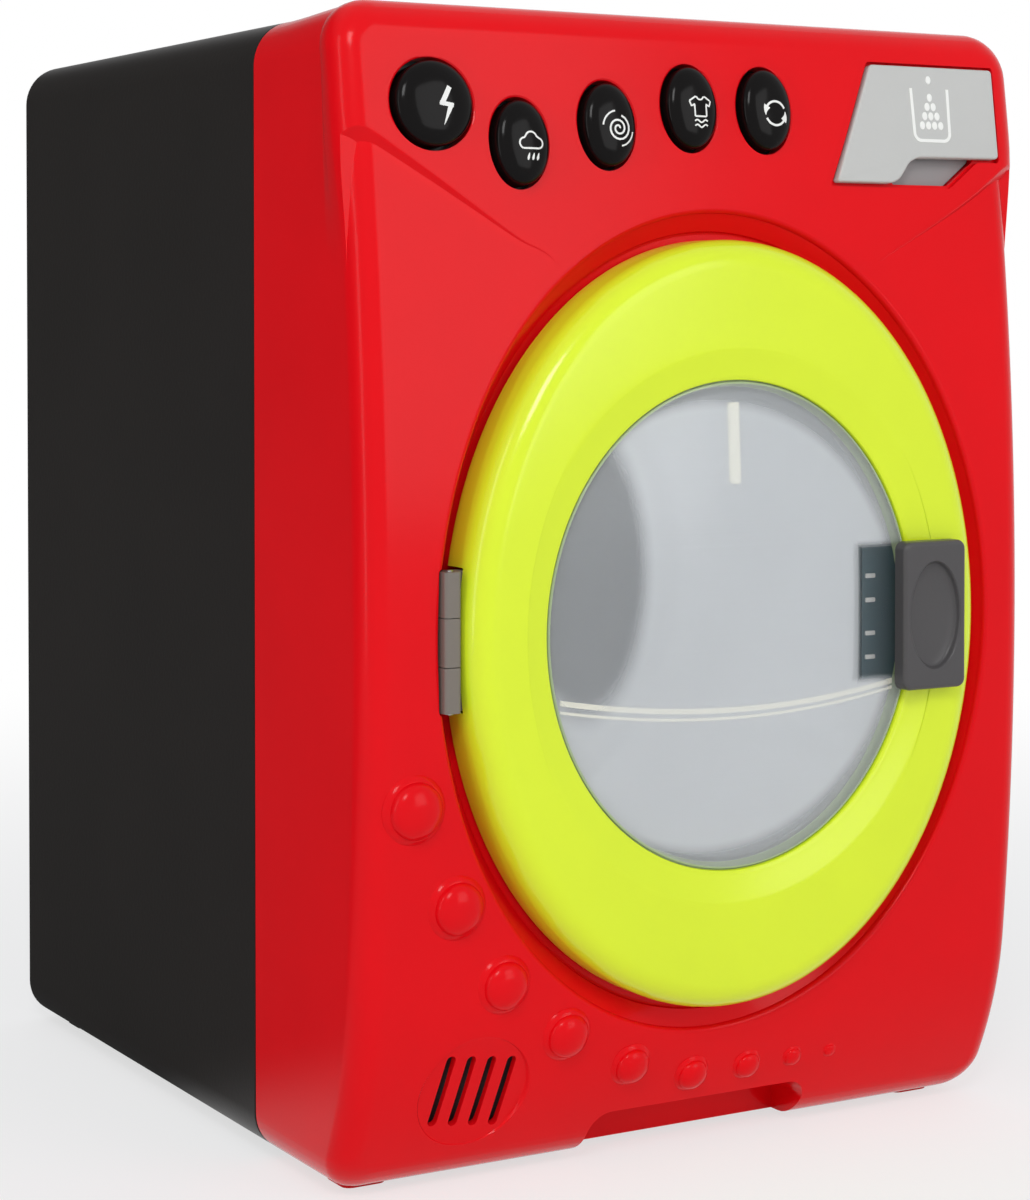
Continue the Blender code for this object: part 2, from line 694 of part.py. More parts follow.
def tray_hole():
    """The opening in the front wall that the tray slides through."""
    return block((TRAY_LEFT - RUN_GAP, FRONT_PLANE - OVERRUN, TRAY_BOTTOM - RUN_GAP),
                 (TRAY_LEFT + TRAY_WIDTH + RUN_GAP, housing_start() + OVERRUN,
                  TRAY_BOTTOM + TRAY_HEIGHT + RUN_GAP))


def scoop():
    """The finger space behind the drawer plate's cut-away corner."""
    left = DRAWER_LEFT + SCOOP_LEFT_SHARE * DRAWER_WIDTH
    right = DRAWER_LEFT + SCOOP_RIGHT_SHARE * DRAWER_WIDTH
    low = DRAWER_BOTTOM - PANEL_Z
    shape = soft_block((left, -OVERRUN, low),
                       (right, SCOOP_DEPTH, low + SCOOP_TOP_SHARE * DRAWER_HEIGHT),
                       RIB_THICKNESS, "Y")
    shape.transform(PANEL)
    return shape


def front_cavity():
    """The space inside the front shell, less the walls behind the recess, hinge and notch."""
    cavity = tool(casing_solid(SHELL_WALL, SEAM_Y + OVERRUN, "front",
                               FRONT_EDGE_RADIUS - SHELL_WALL))
    slope = RECESS_SPREAD / RECESS_SLOPE_DEPTH
    reach = RECESS_SLOPE_DEPTH + OVERRUN
    wide = RING_HALF_WIDTH + RECESS_GAP + SURROUND_WALL
    tall = RING_HALF_HEIGHT + RECESS_GAP + RECESS_TALL + SURROUND_WALL
    half = HINGE_HEIGHT / 2 + KNUCKLE_RADIUS + SHELL_WALL
    face = front_y(FOOT_HEIGHT)
    left = NOTCH_X - NOTCH_WIDTH / 2 - NOTCH_WALL
    right = NOTCH_X + NOTCH_WIDTH / 2 + NOTCH_WALL
    cut(cavity,
        oval(DOOR_X, DOOR_Z, ((wide, tall, FLOOR_REAR),
                              (wide + slope * reach, tall + slope * reach, FLOOR_REAR - reach))),
        block((HINGE_X - HINGE_POCKET_LEFT - SHELL_WALL, RING_FRONT, DOOR_Z - half),
              (HINGE_X + LEAF_REACH / 2, FLOOR_REAR, DOOR_Z + half)),
        block((left, face - OVERRUN, 0),
              (right, face + NOTCH_DEPTH + NOTCH_WALL, NOTCH_HEIGHT + NOTCH_WALL)))
    return cavity


def front_casing():
    """The red front shell with its panel, door recess, grille, bubbles and bosses."""
    made = piece("front_casing", casing_solid(0, SEAM_Y - TOUCH_GAP / 2, "front",
                                              FRONT_EDGE_RADIUS), RED)
    lobe = tool(casing_solid(0, FRONT_PLANE + LOBE_WRAP, "front", FRONT_EDGE_RADIUS,
                             (LOBE_SIDE, LOBE_TOP, LOBE_FRONT)))
    outline = [(across * HALF_WIDTH, BODY_HEIGHT - down * PANEL_BAND)
               for across, down in CREASE_SHARES]
    ends = [(side * LOBE_TRIM_SHARE * HALF_WIDTH, LOBE_TRIM_SHARE * BODY_HEIGHT)
            for side in (1, -1)]
    trim = lobe.modifiers.new("crease", "BOOLEAN")
    trim.operation = "INTERSECT"
    trim.object = tool(prism(outline + ends, FRONT_PLANE - 2 * OVERRUN, SEAM_Y))
    step = made.modifiers.new("lobe", "BOOLEAN")
    step.operation = "UNION"
    step.object = lobe
    hollow = made.modifiers.new("hollow", "BOOLEAN")
    hollow.operation = "DIFFERENCE"
    hollow.object = front_cavity()
    pocket_low = DOOR_Z - HINGE_HEIGHT / 2 - KNUCKLE_RADIUS
    pocket_high = DOOR_Z + HINGE_HEIGHT / 2 + KNUCKLE_RADIUS
    pocket_left = HINGE_X - HINGE_POCKET_LEFT
    cut(made, recess_shape())
    cut(made, block((pocket_left, RING_FRONT - OVERRUN, pocket_low),
                    (HINGE_X + LEAF_REACH / 2, FLOOR_FRONT, pocket_high)))
    cut(made, oval(DOOR_X, DOOR_Z, (
        (MOUTH_HALF_WIDTH, MOUTH_HALF_HEIGHT, FLOOR_REAR + OVERRUN),
        (MOUTH_HALF_WIDTH, MOUTH_HALF_HEIGHT, FLOOR_FRONT - OVERRUN),
    )))
    half_slot = CENTRE_KNUCKLE / 2 + BRACKET_SLOT_GAP
    cut(made, block((HINGE_X - BRACKET_THICKNESS / 2 - BRACKET_SLOT_GAP, FLOOR_FRONT - OVERRUN,
                     DOOR_Z - half_slot),
                    (HINGE_X + BRACKET_THICKNESS / 2 + BRACKET_SLOT_GAP, FLOOR_REAR + OVERRUN,
                     DOOR_Z + half_slot)))
    add_bubbles(made)
    for button in BUTTONS:
        cut(made, button_hole(button))
    cut(made, panel_prism(drawer_outline(POCKET_SHARES), -OVERRUN, POCKET_DEPTH))
    cut(made, tray_hole(), scoop())
    add_grille(made)
    add_base(made)
    add_front_bosses(made)
    return made


def add_bubbles(casing):
    """The row of low round domes that runs under the door."""
    for across, up, diameter in BUBBLE_SHARES:
        radius = diameter * HALF_WIDTH
        z = up * BODY_HEIGHT
        height = 2 * radius * BUBBLE_HEIGHT_SHARE
        dome = turned(0, 0, ((radius, SHELL_WALL / 2), (radius * 0.94, -height * 0.35),
                             (radius * 0.6, -height * 0.85), (0, -height)), segments=BUBBLE_SIDES)
        dome.transform(surface_frame(across * HALF_WIDTH, z, 0))
        join(casing, dome)


def add_grille(casing):
    """The sunk round grille with four leaning slots, and the speaker's seat behind it."""
    seat = turned(0, 0, ((SPEAKER_RADIUS + SHELL_WALL, SHELL_WALL / 2),
                         (SPEAKER_RADIUS + SHELL_WALL, SPEAKER_SEAT),
                         (SPEAKER_RADIUS + TOUCH_GAP, SPEAKER_SEAT),
                         (SPEAKER_RADIUS + TOUCH_GAP, SHELL_WALL / 2)), looped=True)
    seat.transform(SPEAKER)
    join(casing, seat)
    for side in (-1, 1):
        boss = rod(side * CLAMP_EAR_REACH, 0, SMALL_BOSS_RADIUS, SHELL_WALL / 2,
                   SPEAKER_SEAT, BOSS_SIDES)
        boss.transform(SPEAKER)
        join(casing, boss)
        pilot = rod(side * CLAMP_EAR_REACH, 0, SMALL_SHANK_RADIUS + TOUCH_GAP,
                    SHELL_WALL / 2, SPEAKER_SEAT + OVERRUN, PILOT_SIDES)
        pilot.transform(SPEAKER)
        cut(casing, pilot)
    sink = rod(0, 0, GRILLE_RADIUS, -OVERRUN, GRILLE_SINK, DISC_SIDES)
    sink.transform(SPEAKER)
    cut(casing, sink)
    for index in range(SLOT_COUNT):
        x = (index - (SLOT_COUNT - 1) / 2) * SLOT_PITCH
        slot = soft_block((x - SLOT_WIDTH / 2, -OVERRUN / 2, -SLOT_LENGTH / 2),
                          (x + SLOT_WIDTH / 2, OVERRUN / 2, SLOT_LENGTH / 2),
                          SLOT_WIDTH * 0.45, "Y")
        slot.transform(SPEAKER @ Matrix.Rotation(SLOT_LEAN, 4, "Y"))
        cut(casing, slot)


def add_base(casing):
    """The notch under the front edge, walled inside, and the two front feet."""
    left = NOTCH_X - NOTCH_WIDTH / 2
    right = NOTCH_X + NOTCH_WIDTH / 2
    face = front_y(FOOT_HEIGHT)
    cut(casing, block((left, face - OVERRUN, -OVERRUN), (right, face + NOTCH_DEPTH, NOTCH_HEIGHT)))
    for side in (-1, 1):
        join(casing, foot(side * (HALF_WIDTH - FOOT_INSET), face + FOOT_INSET))


def boss_foot(x, z):
    """Where a boss starts: in the recess floor, or in the front wall outside the recess."""
    wide = RING_HALF_WIDTH + RECESS_GAP + SURROUND_WALL
    tall = RING_HALF_HEIGHT + RECESS_GAP + RECESS_TALL + SURROUND_WALL
    if ((x - DOOR_X) / wide) ** 2 + ((z - DOOR_Z) / tall) ** 2 < 1:
        return FLOOR_REAR - SHELL_WALL / 2
    return front_y(z) + SHELL_WALL / 2


def add_front_bosses(casing):
    """Bosses for the casing screws, the tub screws and the board screws."""
    for x, z, side in post_places():
        wall = side * (HALF_WIDTH - SHELL_WALL / 2)
        start = SEAM_Y - TOUCH_GAP / 2
        join(casing, rod(x, z, POST_RADIUS, start - FRONT_BOSS_DEPTH, start, BOSS_SIDES))
        join(casing, block((min(x, wall), start - FRONT_BOSS_DEPTH, z - RIB_THICKNESS / 2),
                           (max(x, wall), start - RIB_THICKNESS, z + RIB_THICKNESS / 2)))
        cut(casing, rod(x, z, SCREW_SHANK_RADIUS + TOUCH_GAP,
                        start - FRONT_BOSS_DEPTH + RIB_THICKNESS, start + OVERRUN, PILOT_SIDES))
    for x, z in tub_screw_places():
        join(casing, rod(x, z, TUB_EAR_RADIUS - TOUCH_GAP, boss_foot(x, z),
                         FLOOR_REAR + TUB_BOSS_LENGTH, BOSS_SIDES))
        cut(casing, rod(x, z, SMALL_SHANK_RADIUS + TOUCH_GAP, FLOOR_REAR + SHELL_WALL / 2,
                        FLOOR_REAR + TUB_BOSS_LENGTH + OVERRUN, PILOT_SIDES))
    for across, up in BOARD_SCREW_SHARES:
        boss = rod(across * HALF_WIDTH, up * PANEL_BAND, SMALL_BOSS_RADIUS,
                   PANEL_WALL - SHELL_WALL / 2, BOARD_FRONT - TOUCH_GAP, BOSS_SIDES)
        pilot = rod(across * HALF_WIDTH, up * PANEL_BAND, SMALL_SHANK_RADIUS + TOUCH_GAP,
                    PANEL_WALL, BOARD_FRONT + OVERRUN, PILOT_SIDES)
        boss.transform(PANEL)
        pilot.transform(PANEL)
        join(casing, boss)
        cut(casing, pilot)


def rear_casing():
    """The dark rear shell with its screw wells and the opening for the batteries."""
    start = SEAM_Y + TOUCH_GAP / 2
    made = piece("rear_casing", casing_solid(0, start, "rear", REAR_EDGE_RADIUS), DARK)
    cut(made, casing_solid(SHELL_WALL, start - OVERRUN, "rear", REAR_EDGE_RADIUS - SHELL_WALL))
    for x, z, side in post_places():
        wall = side * (HALF_WIDTH - SHELL_WALL / 2)
        join(made, rod(x, z, POST_RADIUS, start, REAR_Y - SHELL_WALL / 2, BOSS_SIDES))
        join(made, block((min(x, wall), start + RIB_THICKNESS, z - RIB_THICKNESS / 2),
                         (max(x, wall), REAR_Y - SHELL_WALL / 2, z + RIB_THICKNESS / 2)))
        cut(made, rod(x, z, WELL_RADIUS, start + WELL_FLOOR, REAR_Y + OVERRUN, BOSS_SIDES))
        cut(made, rod(x, z, SCREW_SHANK_RADIUS + TOUCH_GAP, start - OVERRUN, REAR_Y, PILOT_SIDES))
    half = COVER_WIDTH / 2 + TOUCH_GAP
    cut(made, block((-half, REAR_Y - SHELL_WALL - OVERRUN, COVER_BOTTOM - TOUCH_GAP),
                    (half, REAR_Y + OVERRUN, COVER_BOTTOM + COVER_HEIGHT + TOUCH_GAP)))
    for side in (-1, 1):
        join(made, foot(side * (HALF_WIDTH - FOOT_INSET), REAR_Y - FOOT_INSET))
    return made


def casing_screws():
    """The four long-reach screws that hold the two shells together."""
    for index, (x, z, _) in enumerate(post_places(), start=1):
        frame = Matrix.Translation((x, SEAM_Y + TOUCH_GAP / 2 + WELL_FLOOR + TOUCH_GAP, z))
        screw(f"casing_screw_{index}", frame, SCREW_HEAD_RADIUS, SCREW_HEAD_HEIGHT,
              SCREW_SHANK_RADIUS, CASING_SCREW_LENGTH)


PAD_DOME_FRONT = PANEL_WALL + TOUCH_GAP + BUTTON_FLANGE + BUTTON_TRAVEL + TOUCH_GAP
PAD_FRONT = PAD_DOME_FRONT + BUTTON_FLANGE
BOARD_FRONT = PAD_FRONT + PAD_SHEET + TOUCH_GAP


def buttons():
    """Five domed push buttons, each held behind the panel by its flange."""
    for name, across, up, half_width, half_height in BUTTONS:
        front = PANEL_WALL + TOUCH_GAP
        rings = [
            (half_width + BUTTON_FLANGE, half_height + BUTTON_FLANGE, front + BUTTON_FLANGE),
            (half_width + BUTTON_FLANGE, half_height + BUTTON_FLANGE, front),
            (half_width, half_height, front),
        ]
        rings += [(half_width * share, half_height * share, -BUTTON_RIM - BUTTON_DOME * rise)
                  for share, rise in BUTTON_DOME_SHARES]
        made = piece(name, oval(0, 0, rings, segments=BUTTON_SEGMENTS), BLACK)
        made.matrix_world = PANEL @ Matrix.Translation(
            (across * HALF_WIDTH, 0, up * PANEL_BAND))


def control_board():
    """The board behind the buttons, the rubber pad on it and its two screws."""
    pad_shape = block((BOARD_LEFT, PAD_FRONT, BOARD_BOTTOM),
                      (BOARD_RIGHT, PAD_FRONT + PAD_SHEET, BOARD_TOP))
    pad_shape.transform(PANEL)
    pad = piece("button_pad", pad_shape, RUBBER)
    for _, across, up, _, _ in BUTTONS:
        dome = turned(across * HALF_WIDTH, up * PANEL_BAND, (
            (PAD_DOME_RADIUS, PAD_FRONT + PAD_SHEET / 2),
            (PAD_DOME_RADIUS, PAD_FRONT - TOUCH_GAP),
            (PAD_DOME_RADIUS * 0.7, PAD_DOME_FRONT)), segments=BOSS_SIDES)
        dome.transform(PANEL)
        join(pad, dome)
    board_shape = block((BOARD_LEFT, BOARD_FRONT, BOARD_BOTTOM),
                        (BOARD_RIGHT, BOARD_FRONT + BOARD_THICKNESS, BOARD_TOP))
    board_shape.transform(PANEL)
    board = piece("control_board", board_shape, BOARD_GREEN)
    for index, (across, up) in enumerate(BOARD_SCREW_SHARES, start=1):
        x, z = across * HALF_WIDTH, up * PANEL_BAND
        pad_hole = rod(x, z, SMALL_BOSS_RADIUS + TOUCH_GAP, PAD_FRONT - OVERRUN,
                       BOARD_FRONT - TOUCH_GAP / 2, BOSS_SIDES)
        board_hole = rod(x, z, SMALL_SHANK_RADIUS + TOUCH_GAP, PAD_FRONT,
                         BOARD_FRONT + OVERRUN, PILOT_SIDES)
        pad_hole.transform(PANEL)
        board_hole.transform(PANEL)
        cut(pad, pad_hole)
        cut(board, board_hole)
        back = BOARD_FRONT + BOARD_THICKNESS + TOUCH_GAP
        screw(f"board_screw_{index}", PANEL @ Matrix.Translation((x, back, z)),
              SMALL_SCREW_HEAD_RADIUS, SMALL_SCREW_HEAD_HEIGHT, SMALL_SHANK_RADIUS,
              SMALL_SCREW_LENGTH)


def speaker():
    """The loudspeaker in its seat, the clamp behind it and two screws."""
    rim = SPEAKER_FRONT
    shape = turned(0, 0, (
        (0, rim + SPEAKER_RIM), (SPEAKER_RADIUS * 0.4, rim + SPEAKER_RIM),
        (SPEAKER_RADIUS * 0.88, rim), (SPEAKER_RADIUS, rim),
        (SPEAKER_RADIUS, rim + SPEAKER_RIM), (SPEAKER_BASKET_RADIUS, rim + SPEAKER_RIM),
        (SPEAKER_BASKET_RADIUS, rim + SPEAKER_DEPTH / 2), (MAGNET_RADIUS, rim + SPEAKER_DEPTH / 2),
        (MAGNET_RADIUS, rim + SPEAKER_DEPTH), (0, rim + SPEAKER_DEPTH)), segments=DISC_SIDES)
    shape.transform(SPEAKER)
    piece("speaker", shape, PAPER)
    front = SPEAKER_SEAT + TOUCH_GAP
    back = front + CLAMP_THICKNESS
    clamp_shape = rod(0, 0, SPEAKER_RADIUS + SHELL_WALL, front, back, DISC_SIDES)
    clamp_shape.transform(SPEAKER)
    clamp = piece("speaker_clamp", clamp_shape, GREY)
    for side in (-1, 1):
        ear = rod(side * CLAMP_EAR_REACH, 0, CLAMP_EAR_RADIUS, front, back, BOSS_SIDES)
        ear.transform(SPEAKER)
        join(clamp, ear)
    opening = rod(0, 0, SPEAKER_BASKET_RADIUS + RUN_GAP, front - OVERRUN, back + OVERRUN,
                  DISC_SIDES)
    opening.transform(SPEAKER)
    cut(clamp, opening)
    for index, side in enumerate((-1, 1), start=1):
        hole = rod(side * CLAMP_EAR_REACH, 0, SMALL_SHANK_RADIUS + TOUCH_GAP, front - OVERRUN,
                   front + OVERRUN, PILOT_SIDES)
        hole.transform(SPEAKER)
        cut(clamp, hole)
        place = SPEAKER @ Matrix.Translation(
            (side * CLAMP_EAR_REACH, back + TOUCH_GAP, 0))
        screw(f"speaker_screw_{index}", place, SMALL_SCREW_HEAD_RADIUS, SMALL_SCREW_HEAD_HEIGHT,
              SMALL_SHANK_RADIUS, SMALL_SCREW_LENGTH)


def detergent_drawer():
    """The drawer: a shaped front plate with an open tray behind it, and its housing."""
    plate_rear = POCKET_DEPTH - TOUCH_GAP
    drawer = piece("detergent_drawer", panel_prism(drawer_outline(PLATE_SHARES),
                                                   plate_rear - PLATE_THICKNESS, plate_rear),
                   LIGHT_GREY)
    front = (PANEL @ Vector((0, plate_rear - PLATE_THICKNESS / 2, 0))).y
    right = TRAY_LEFT + TRAY_WIDTH
    top = TRAY_BOTTOM + TRAY_HEIGHT
    join(drawer, block((TRAY_LEFT, front, TRAY_BOTTOM), (right, front + TRAY_LENGTH, top)))
    cut(drawer, block((TRAY_LEFT + TRAY_WALL, front + 2 * TRAY_WALL + PLATE_THICKNESS,
                       TRAY_BOTTOM + TRAY_WALL),
                      (right - TRAY_WALL, front + TRAY_LENGTH - TRAY_WALL, top + OVERRUN)))
    low_x = TRAY_LEFT - RUN_GAP
    high_x = right + RUN_GAP
    low_z = TRAY_BOTTOM - RUN_GAP
    high_z = top + RUN_GAP
    start = housing_start()
    end = front + TRAY_LENGTH + RUN_GAP
    housing = piece("drawer_housing", block(
        (low_x - HOUSING_WALL, start, low_z - HOUSING_WALL),
        (high_x + HOUSING_WALL, end + HOUSING_WALL, high_z + HOUSING_WALL)), GREY)
    cut(housing, block((low_x, start - OVERRUN, low_z), (high_x, end, high_z)))


def ring_rings():
    """The door ring's section as ovals: up the outer side, over the face and back inside."""
    wide, tall = RING_HALF_WIDTH, RING_HALF_HEIGHT
    lip = RING_FRONT + LIP_DROP
    inner_wide, inner_tall = wide - RING_WALL, tall - RING_WALL
    rings = [(wide, tall, RING_BASE), (wide, tall, RING_FRONT + SHOULDER + RING_WALL)]
    for angle in (30, 60, 90):
        turn = math.radians(angle)
        pull = SHOULDER * (1 - math.cos(turn))
        rings.append((wide - pull, tall - pull,
                      RING_FRONT + SHOULDER * (1 - math.sin(turn)) + RING_WALL * math.cos(turn)))
    mid_wide = (wide - SHOULDER + GLASS_HALF_WIDTH) / 2
    mid_tall = (tall - SHOULDER + GLASS_HALF_HEIGHT) / 2
    rings += [
        (mid_wide, mid_tall, RING_FRONT),
        (GLASS_HALF_WIDTH + RING_WALL, GLASS_HALF_HEIGHT + RING_WALL, RING_FRONT + LIP_DROP / 2),
        (GLASS_HALF_WIDTH, GLASS_HALF_HEIGHT, lip),
        (GLASS_HALF_WIDTH, GLASS_HALF_HEIGHT, lip + LIP_THICKNESS),
        (mid_wide, mid_tall, RING_FRONT + RING_WALL),
        (inner_wide - SHOULDER * 0.6, inner_tall - SHOULDER * 0.6, RING_FRONT + RING_WALL),
        (inner_wide, inner_tall, RING_FRONT + SHOULDER + RING_WALL),
        (inner_wide, inner_tall, RING_BASE),
    ]
    return rings


LIP_REAR = RING_FRONT + LIP_DROP + LIP_THICKNESS
DOOR_PIVOT = (HINGE_X, HINGE_Y, DOOR_Z)
COLLAR_FRONT = LIP_REAR + 2 * TOUCH_GAP + WINDOW_THICKNESS
NECK_END = COLLAR_FRONT + LATCH_HOUSING_WALL
BOLT_FRONT = NECK_END + TOUCH_GAP
BOLT_REAR = BOLT_FRONT + BOLT_THICKNESS


def door_screw_places():
    """The four places of the screws in the door ring."""
    across = DOOR_SCREW_ACROSS_SHARE * RING_HALF_WIDTH
    up = DOOR_SCREW_UP_SHARE * RING_HALF_HEIGHT
    return [(DOOR_X + h * across, DOOR_Z + v * up) for v in (1, -1) for h in (-1, 1)]


def neck_span():
    """The latch neck's left and right edges at rest."""
    right = HANDLE_LEFT + HANDLE_WIDTH - NECK_RIGHT_INSET
    return right - NECK_WIDTH, right


def door_ring():
    """The lime ring, hollow behind, with bosses, a hinge gap and the latch slot."""
    made = piece("door_ring", oval(DOOR_X, DOOR_Z, ring_rings(), looped=True), LIME, DOOR_PIVOT)
    for x, z in door_screw_places():
        join(made, rod(x, z, SMALL_BOSS_RADIUS + TOUCH_GAP, RING_FRONT + RING_WALL / 2,
                       RETAINER_FRONT - TOUCH_GAP, BOSS_SIDES))
        cut(made, rod(x, z, SMALL_SHANK_RADIUS + TOUCH_GAP, RING_FRONT + 2 * RING_WALL,
                      RETAINER_FRONT + OVERRUN, PILOT_SIDES))
    half = HINGE_HEIGHT / 2 + RUN_GAP
    cut(made, block((HINGE_X - OVERRUN, HINGE_Y - KNUCKLE_RADIUS - RUN_GAP, DOOR_Z - half),
                    (DOOR_X - RING_HALF_WIDTH + 2 * (RING_WALL + RUN_GAP), RING_BASE + OVERRUN,
                     DOOR_Z + half)))
    left, right = neck_span()
    tall = NECK_HEIGHT / 2 + RUN_GAP
    cut(made, block((left - LATCH_TRAVEL - RUN_GAP, RING_FRONT - OVERRUN, DOOR_Z - tall),
                    (right + RUN_GAP, RING_FRONT + RING_WALL + OVERRUN / 2, DOOR_Z + tall)))
    return made


def door_window():
    """The smoky domed window, clamped by its flange behind the ring's lip."""
    flange_wide = GLASS_HALF_WIDTH + WINDOW_FLANGE
    flange_tall = GLASS_HALF_HEIGHT + WINDOW_FLANGE
    wide = GLASS_HALF_WIDTH - TOUCH_GAP
    tall = GLASS_HALF_HEIGHT - TOUCH_GAP
    front = LIP_REAR + TOUCH_GAP
    edge = LIP_REAR - LIP_THICKNESS / 2
    rings = [(wide * share, tall * share, edge - WINDOW_BULGE * (1 - share ** 2))
             for share in WINDOW_ROW_SHARES]
    rings += [
        (wide, tall, edge), (wide, tall, front), (flange_wide, flange_tall, front),
        (flange_wide, flange_tall, front + WINDOW_THICKNESS),
        (wide - WINDOW_THICKNESS, tall - WINDOW_THICKNESS, front + WINDOW_THICKNESS),
    ]
    rings += [(wide * share, tall * share,
               edge + WINDOW_THICKNESS - WINDOW_BULGE * (1 - share ** 2))
              for share in reversed(WINDOW_ROW_SHARES)]
    piece("door_window", oval(DOOR_X, DOOR_Z, rings), SMOKE, DOOR_PIVOT)


def door_retainer():
    """The ring-shaped plate that closes the back of the door, with its four screws."""
    wide = RING_HALF_WIDTH - RING_WALL - RUN_GAP
    tall = RING_HALF_HEIGHT - RING_WALL - RUN_GAP
    collar_wide = GLASS_HALF_WIDTH + WINDOW_FLANGE / 2
    collar_tall = GLASS_HALF_HEIGHT + WINDOW_FLANGE / 2
    made = piece("door_retainer", oval(DOOR_X, DOOR_Z, (
        (wide, tall, RETAINER_REAR), (wide, tall, RETAINER_FRONT),
        (collar_wide + COLLAR_WALL, collar_tall + COLLAR_WALL, RETAINER_FRONT),
        (collar_wide + COLLAR_WALL, collar_tall + COLLAR_WALL, COLLAR_FRONT),
        (collar_wide, collar_tall, COLLAR_FRONT), (collar_wide, collar_tall, RETAINER_REAR),
    ), looped=True), LIGHT_GREY, DOOR_PIVOT)
    for index, (x, z) in enumerate(door_screw_places(), start=1):
        cut(made, rod(x, z, SMALL_SHANK_RADIUS + TOUCH_GAP, RETAINER_FRONT - OVERRUN,
                      RETAINER_REAR + OVERRUN, PILOT_SIDES))
        seat = RETAINER_REAR - SMALL_SCREW_HEAD_HEIGHT
        cut(made, rod(x, z, SMALL_SCREW_HEAD_RADIUS + TOUCH_GAP, seat - TOUCH_GAP,
                      RETAINER_REAR + OVERRUN, BOSS_SIDES))
        screw(f"door_screw_{index}", Matrix.Translation((x, seat, z)), SMALL_SCREW_HEAD_RADIUS,
              SMALL_SCREW_HEAD_HEIGHT, SMALL_SHANK_RADIUS, DOOR_SCREW_LENGTH)
    half = LATCH_HOUSING_HEIGHT / 2 + TOUCH_GAP
    cut(made, block((LATCH_HOUSING_LEFT - OVERRUN, COLLAR_FRONT - OVERRUN, DOOR_Z - half),
                    (latch_right() + TOUCH_GAP, RETAINER_FRONT, DOOR_Z + half)))
    left, _ = leg_span()
    slot = NECK_HEIGHT / 2 + RUN_GAP
    cut(made, block((DOOR_X, RETAINER_FRONT - OVERRUN, DOOR_Z - slot),
                    (left + BOLT_LEG + RUN_GAP, RETAINER_REAR + OVERRUN, DOOR_Z + slot)))


def latch_right():
    """The right side of the latch housing."""
    return neck_span()[1] + RUN_GAP + LATCH_HOUSING_WALL


def leg_span():
    """The latch bolt's leg, which reaches back through the door to the casing's edge."""
    right = DOOR_X + MOUTH_HALF_WIDTH - RUN_GAP - BOLT_NOSE
    return right - BOLT_LEG, right


def hinge():
    """The door's hinge leaf, the casing's bracket between its knuckles, and the pin."""
    half = HINGE_HEIGHT / 2
    low, high = DOOR_Z - half, DOOR_Z + half
    leaf = piece("door_hinge_leaf", upright_rod(HINGE_X, HINGE_Y, KNUCKLE_RADIUS, low, high),
                 HINGE_GREY, DOOR_PIVOT)
    rear = RETAINER_FRONT - TOUCH_GAP
    join(leaf, block((HINGE_X, rear - LEAF_THICKNESS, low), (HINGE_X + LEAF_REACH, rear, high)))
    gap_half = CENTRE_KNUCKLE / 2 + BRACKET_SLOT_GAP
    clear = KNUCKLE_RADIUS + RUN_GAP
    cut(leaf, block((HINGE_X - OVERRUN, HINGE_Y - OVERRUN, DOOR_Z - gap_half),
                    (HINGE_X + clear, HINGE_Y + OVERRUN, DOOR_Z + gap_half)))
    cut(leaf, upright_rod(HINGE_X, HINGE_Y, HINGE_PIN_RADIUS + TOUCH_GAP, low - OVERRUN,
                          high + OVERRUN, BOSS_SIDES))
    knuckle_low = DOOR_Z - CENTRE_KNUCKLE / 2
    knuckle_high = DOOR_Z + CENTRE_KNUCKLE / 2
    bracket = piece("hinge_bracket", upright_rod(HINGE_X, HINGE_Y, KNUCKLE_RADIUS, knuckle_low,
                                                 knuckle_high), HINGE_GREY)
    join(bracket, block((HINGE_X - BRACKET_THICKNESS / 2, HINGE_Y, knuckle_low),
                        (HINGE_X + BRACKET_THICKNESS / 2, FLOOR_REAR, knuckle_high)))
    cut(bracket, upright_rod(HINGE_X, HINGE_Y, HINGE_PIN_RADIUS + TOUCH_GAP, low - OVERRUN,
                             high + OVERRUN, BOSS_SIDES))
    piece("hinge_pin", upright_rod(HINGE_X, HINGE_Y, HINGE_PIN_RADIUS, low - TOUCH_GAP,
                                   high + TOUCH_GAP, PILOT_SIDES), STEEL)


